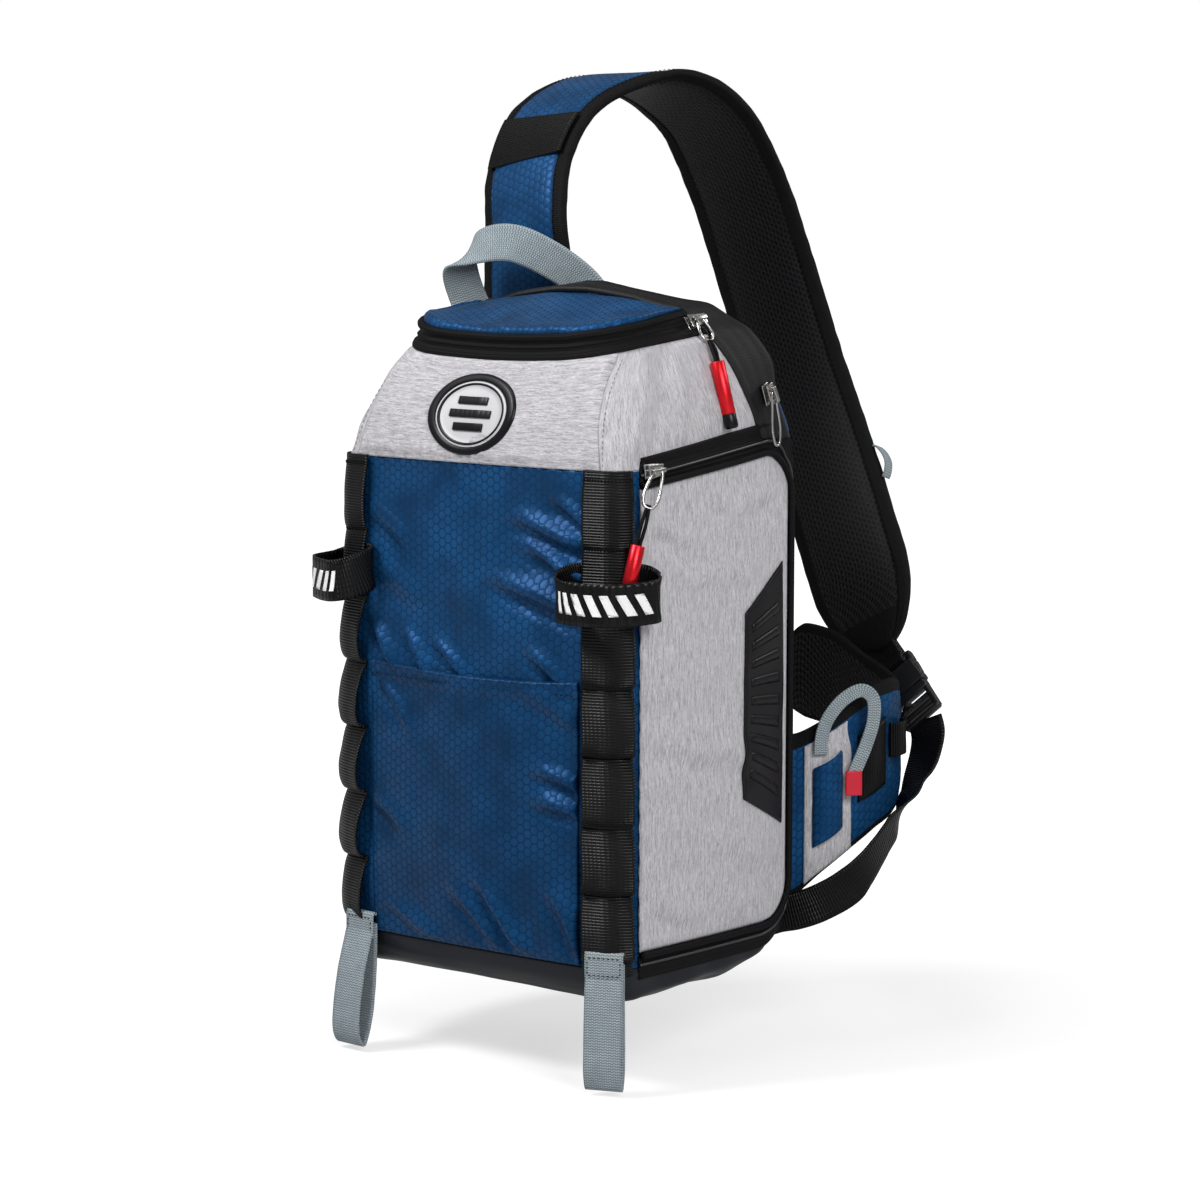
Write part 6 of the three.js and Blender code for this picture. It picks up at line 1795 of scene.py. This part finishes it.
def build_buckle():
    def part(along, across, up, size, soft=0.8, taper=1.0, lean=0.0):
        return block(buckle_spot(along, across, up), BUCKLE_WIDE, BUCKLE_ALONG, size, soft, taper, lean)

    socket = [part(30, 0, 3.3, (31, 18, 2.0), 0.9, 1.06), part(30, 0, -3.3, (31, 18, 2.0), 0.9, 1.06),
            part(29, 0, 0, (8, 19, 6), 0.8),
              part(16.6, 0, 0, (34, 4.4, 5.6), 1.4)]
    prongs = [part(42.4, 0, 0, (31, 6.5, 7.4), 1.4), part(50.5, 0, -0.6, (29, 3.2, 4.6), 1.0, 1.0, 0.3),
            part(56.4, 0, 0.6, (29, 3.2, 4.8), 1.0, 1.0, 0.3),
              part(62.2, 0, 0.8, (30, 3.4, 6.4), 1.3)]
    for side in (-1, 1):
        socket += [part(37, side * 14.4, 0, (4.6, 5.0, 8.4), 1.2),
                part(19.5, side * 15.0, 0, (4.0, 8.0, 6.4), 1.2),
                part(24, side * 14.6, 2.6, (4.0, 6, 2.4), 0.9)]
        prongs += [part(29.5, side * 15.2, 0, (4.4, 11.5, 6.0), 1.5, 0.8),
                part(52.5, side * 13.6, 0, (3.8, 20, 6.2), 1.2)]
    moulded("buckle_socket_body", socket, "plastic", ("buckle_socket",))
    moulded("buckle_plug_body", prongs, "plastic", ("buckle_plug",))
    table = [(-5, 1.6), (4, 1.8), (11, 2.8), (14.4, 4.0), (18.4, 4.0), (20.2, 2.0), (20.2, -2.0),
            (18.4, -4.0), (14.4, -4.0), (11, -2.8), (4, -1.8), (-5, -1.6)]
    ribbon("strap_tab_web", [(buckle_spot(a, 0, b), BUCKLE_WIDE) for a, b in table], 25, 1.4, "webbing",
            spacing=1.4, replaces=("strap_tab",))


# Studio and finishes


def build_stage():
    scene = bpy.context.scene
    scene.view_settings.view_transform = "Standard"
    bm = bmesh.new()
    bmesh.ops.create_grid(bm, x_segments=1, y_segments=1, size=1.0)
    floor_height = -0.6345
    bmesh.ops.scale(bm, vec=(30, 30, 1), verts=bm.verts)
    bmesh.ops.translate(bm, vec=(0, 0, floor_height), verts=bm.verts)
    mesh = bpy.data.meshes.new("floor")
    bm.to_mesh(mesh)
    bm.free()
    floor = bpy.data.objects.new("floor", mesh)
    scene.collection.objects.link(floor)
    # A glowing floor, painted light that looks white all the way back; its glow is weaker near the bag, a
    # painted shade round it, and it throws less of that light at the bag
    material, tree, add, shader = started("Glowing floor with painted shade near the bag")
    away = add("VectorMath", add("TexCoord").outputs["Object"], (0.1, -0.05, floor_height),
            operation="DISTANCE")
    # Painted light: the floor's glow, weaker near the bag as a painted shade
    glow = add("MapRange", away.outputs["Value"], 0.2, 0.9, 0.62, 1.0)
    seen = add("MapRange", add("LightPath"), 0.0, 1.0, 0.16, 1.0)
    strength = add("Math", glow, seen, operation="MULTIPLY")
    feed(tree, shader, Emission_Strength=strength)
    settle(shader, Base_Color=linear("#b4b4b4"), Roughness=1.0, Specular_IOR_Level=0.0,
            Emission_Color=(1, 1, 1, 1))
    mesh.materials.append(material)
    data = bpy.data.cameras.new("camera")
    data.lens, data.sensor_width = 114.8, 36.0
    data.clip_end = 50
    camera = bpy.data.objects.new("camera", data)
    camera.location = (1.7147, -2.0673, -0.0371)
    camera.rotation_euler = (math.radians(83.2), 0, math.radians(40))
    scene.collection.objects.link(camera)
    scene.camera = camera
    world = bpy.data.worlds.new("studio")
    world.use_nodes = True
    # A white studio that lights the bag more softly than it looks
    background = world.node_tree.nodes["Background"]
    background.inputs[0].default_value = (1, 1, 1, 1)
    strength = wire(world.node_tree, "MapRange", wire(world.node_tree, "LightPath"), 0.0, 1.0, 0.22, 1.0)
    world.node_tree.links.new(strength.outputs[0], background.inputs[1])
    scene.world = world
    target = Vector((0.1, -0.1, -0.3))
    for name, at, size, power in (
        ("key", (-0.55, -1.25, 1.1), 0.6, 27), ("fill", (2.3, -1.3, 0.9), 1.0, 46),
        ("rim", (1.3, 1.5, 1.0), 0.7, 12), ("top", (0.1, -0.4, 1.5), 0.6, 5),
    ):
        light = bpy.data.lights.new(name, "AREA")
        light.size, light.energy = size, power
        lamp = bpy.data.objects.new(name, light)
        lamp.location = at
        lamp.rotation_euler = (target - Vector(at)).to_track_quat("-Z", "Y").to_euler()
        scene.collection.objects.link(lamp)


def build_finishes():
    settings = bpy.context.scene.bag_settings
    make_materials(settings.colours, settings.weaves)


class BagColours(bpy.types.PropertyGroup):
    """Colours of the bag's cloths."""
    navy: bpy.props.FloatVectorProperty(name="Navy", description="Colour of the honeycomb cloth", size=4,
            subtype="COLOR", min=0, max=1, default=linear("#123f68"))
    grey: bpy.props.FloatVectorProperty(name="Grey", description="Mean colour of the melange cloth", size=4,
            subtype="COLOR", min=0, max=1, default=linear("#b0aeb2"))
    black: bpy.props.FloatVectorProperty(name="Black", description="Colour of tapes, webbing and mesh",
            size=4, subtype="COLOR", min=0, max=1, default=linear("#0d0d0f"))
    webbing: bpy.props.FloatVectorProperty(name="Grey webbing",
            description="Colour of the handle and the base loops", size=4, subtype="COLOR", min=0, max=1,
            default=linear("#9aa6ac"))


class BagWeaves(bpy.types.PropertyGroup):
    """Pattern sizes of the bag's cloths, in millimetres."""
    cell: bpy.props.FloatProperty(name="Honeycomb cell", description="Height of one honeycomb cell, in mm",
            default=5.9, min=1.0, max=20.0)
    streak: bpy.props.FloatProperty(name="Melange streak",
            description="Length of a streak in the grey cloth, in mm", default=6.0, min=1.0, max=50.0)
    hole: bpy.props.FloatProperty(name="Mesh hole",
            description="Height of one hole in the spacer mesh, in mm", default=3.3, min=1.0, max=10.0)


class BagSettings(bpy.types.PropertyGroup):
    """Everything a user would change."""
    colours: bpy.props.PointerProperty(type=BagColours, name="Colours",
            description="Colours of the bag's cloths")
    weaves: bpy.props.PointerProperty(type=BagWeaves, name="Weaves",
            description="Pattern sizes of the bag's cloths")


# Operators


class BAG_OT_finishes(bpy.types.Operator):
    """Materials of the bag, from the colours and weaves in the panel."""
    bl_idname = "bag.finishes"
    bl_label = "Materials"

    def execute(self, context):
        build_finishes()
        return {"FINISHED"}


class BAG_OT_stage(bpy.types.Operator):
    """Plain pale floor, soft studio light and the camera at the photograph's angle."""
    bl_idname = "bag.stage"
    bl_label = "Studio"

    def execute(self, context):
        build_stage()
        return {"FINISHED"}


class BAG_OT_body(bpy.types.Operator):
    """Navy cloth round the whole bag, and the coated boot below it."""
    bl_idname = "bag.body"
    bl_label = "Body and boot"

    def execute(self, context):
        build_body()
        return {"FINISHED"}


class BAG_OT_pocket(bpy.types.Operator):
    """Slip pocket on the front, with a turned hem."""
    bl_idname = "bag.pocket"
    bl_label = "Front pocket"

    def execute(self, context):
        build_pocket()
        return {"FINISHED"}


class BAG_OT_yokes(bpy.types.Operator):
    """Grey yokes that slope in to the lid."""
    bl_idname = "bag.yokes"
    bl_label = "Yokes"

    def execute(self, context):
        build_yokes()
        return {"FINISHED"}


class BAG_OT_lid(bpy.types.Operator):
    """Zip belt round the lid, the navy dome above it, and the zip arch over the top."""
    bl_idname = "bag.lid"
    bl_label = "Lid and zip arch"

    def execute(self, context):
        build_lid()
        return {"FINISHED"}


class BAG_OT_daisies(bpy.types.Operator):
    """Black webbing sewn down in loops along both front corners."""
    bl_idname = "bag.daisies"
    bl_label = "Corner webbing"

    def execute(self, context):
        build_daisies()
        return {"FINISHED"}


class BAG_OT_rings(bpy.types.Operator):
    """Hook-and-loop rings through the webbing, each with a plain row of slanted bars."""
    bl_idname = "bag.rings"
    bl_label = "Rod rings"

    def execute(self, context):
        build_rings()
        return {"FINISHED"}


class BAG_OT_base_loops(bpy.types.Operator):
    """Grey webbing loops below the base, each with a folded tab sewn down at its head."""
    bl_idname = "bag.base_loops"
    bl_label = "Base loops"

    def execute(self, context):
        build_base_loops()
        return {"FINISHED"}


class BAG_OT_tray(bpy.types.Operator):
    """Grey tray pocket with its piping, zip band and grip patch."""
    bl_idname = "bag.tray"
    bl_label = "Tray pocket"

    def execute(self, context):
        build_tray()
        return {"FINISHED"}


class BAG_OT_bottle(bpy.types.Operator):
    """Black mesh pocket on the left side, open at the top, with a bound rim."""
    bl_idname = "bag.bottle"
    bl_label = "Bottle pocket"

    def execute(self, context):
        build_bottle()
        return {"FINISHED"}


class BAG_OT_back_pad(bpy.types.Operator):
    """Mesh pad on the wearer's side, quilted in channels."""
    bl_idname = "bag.back_pad"
    bl_label = "Back pad"

    def execute(self, context):
        build_back_pad()
        return {"FINISHED"}


class BAG_OT_strap(bpy.types.Operator):
    """Padded shoulder strap: navy outside, black mesh inside, bound along both edges."""
    bl_idname = "bag.strap"
    bl_label = "Shoulder strap"

    def execute(self, context):
        build_strap()
        return {"FINISHED"}


class BAG_OT_strap_trim(bpy.types.Operator):
    """Keeper band and side loop on the strap."""
    bl_idname = "bag.strap_trim"
    bl_label = "Strap trim"

    def execute(self, context):
        build_strap_trim()
        return {"FINISHED"}


class BAG_OT_wing(bpy.types.Operator):
    """Hip wing folded in behind the bag: navy outside, mesh inside, bound along its edges."""
    bl_idname = "bag.wing"
    bl_label = "Hip wing"

    def execute(self, context):
        build_wing()
        return {"FINISHED"}


class BAG_OT_lanyard(bpy.types.Operator):
    """Grey lanyard ribbon on the wing, and the red tag at its end."""
    bl_idname = "bag.lanyard"
    bl_label = "Lanyard and tag"

    def execute(self, context):
        build_lanyard()
        return {"FINISHED"}


class BAG_OT_webbings(bpy.types.Operator):
    """Black webbings that the buckle holds."""
    bl_idname = "bag.webbings"
    bl_label = "Buckle webbings"

    def execute(self, context):
        build_webbings()
        return {"FINISHED"}


class BAG_OT_handle(bpy.types.Operator):
    """Grey webbing handle over the arch."""
    bl_idname = "bag.handle"
    bl_label = "Grab handle"

    def execute(self, context):
        build_handle()
        return {"FINISHED"}


class BAG_OT_lid_pull(bpy.types.Operator):
    """Slider and pull of the lid's zip."""
    bl_idname = "bag.lid_pull"
    bl_label = "Lid pull"

    def execute(self, context):
        build_lid_pull()
        return {"FINISHED"}


class BAG_OT_side_pull(bpy.types.Operator):
    """Slider and pull at the front end of the tray pocket's zip."""
    bl_idname = "bag.side_pull"
    bl_label = "Side pull"

    def execute(self, context):
        build_side_pull()
        return {"FINISHED"}


class BAG_OT_rear_pull(bpy.types.Operator):
    """Slider at the foot of the arch, with a long metal loop."""
    bl_idname = "bag.rear_pull"
    bl_label = "Rear pull"

    def execute(self, context):
        build_rear_pull()
        return {"FINISHED"}


class BAG_OT_badge(bpy.types.Operator):
    """Plain oval badge: a black rubber rim, a thin inner ring and a grey window with three bars."""
    bl_idname = "bag.badge"
    bl_label = "Badge"

    def execute(self, context):
        build_badge()
        return {"FINISHED"}


class BAG_OT_buckle(bpy.types.Operator):
    """Side-release buckle with a ladder lock, and the strap's webbing tab through it."""
    bl_idname = "bag.buckle"
    bl_label = "Buckle"

    def execute(self, context):
        build_buckle()
        return {"FINISHED"}


OPERATORS = [
    BAG_OT_finishes, BAG_OT_stage, BAG_OT_body, BAG_OT_pocket, BAG_OT_yokes, BAG_OT_lid, BAG_OT_daisies,
    BAG_OT_rings, BAG_OT_base_loops, BAG_OT_tray, BAG_OT_bottle, BAG_OT_back_pad, BAG_OT_strap,
    BAG_OT_strap_trim, BAG_OT_wing, BAG_OT_lanyard, BAG_OT_webbings, BAG_OT_handle, BAG_OT_lid_pull,
    BAG_OT_side_pull, BAG_OT_rear_pull, BAG_OT_badge, BAG_OT_buckle,
]


class BAG_PT_panel(bpy.types.Panel):
    """Lists the bag's builders."""
    bl_idname = "BAG_PT_panel"
    bl_label = "Sling bag"
    bl_space_type = "VIEW_3D"
    bl_region_type = "UI"
    bl_category = "Sling bag"

    def draw(self, context):
        for group in (context.scene.bag_settings.colours, context.scene.bag_settings.weaves):
            for key in group.__annotations__:
                self.layout.prop(group, key)
        for made in OPERATORS:
            self.layout.operator(made.bl_idname)


CLASSES = [BagColours, BagWeaves, BagSettings, BAG_PT_panel]


def register():
    for made in CLASSES + OPERATORS:
        bpy.utils.register_class(made)
    bpy.types.Scene.bag_settings = bpy.props.PointerProperty(type=BagSettings)


def unregister():
    del bpy.types.Scene.bag_settings
    for made in reversed(CLASSES + OPERATORS):
        bpy.utils.unregister_class(made)


def main():
    register()
    bpy.ops.bag.finishes()
    bpy.ops.bag.stage()
    bpy.ops.bag.body()
    bpy.ops.bag.pocket()
    bpy.ops.bag.yokes()
    bpy.ops.bag.lid()
    bpy.ops.bag.daisies()
    bpy.ops.bag.rings()
    bpy.ops.bag.base_loops()
    bpy.ops.bag.tray()
    bpy.ops.bag.bottle()
    bpy.ops.bag.back_pad()
    bpy.ops.bag.strap()
    bpy.ops.bag.strap_trim()
    bpy.ops.bag.wing()
    bpy.ops.bag.lanyard()
    bpy.ops.bag.webbings()
    bpy.ops.bag.handle()
    bpy.ops.bag.lid_pull()
    bpy.ops.bag.side_pull()
    bpy.ops.bag.rear_pull()
    bpy.ops.bag.badge()
    bpy.ops.bag.buckle()


if __name__ == "__main__":
    main()
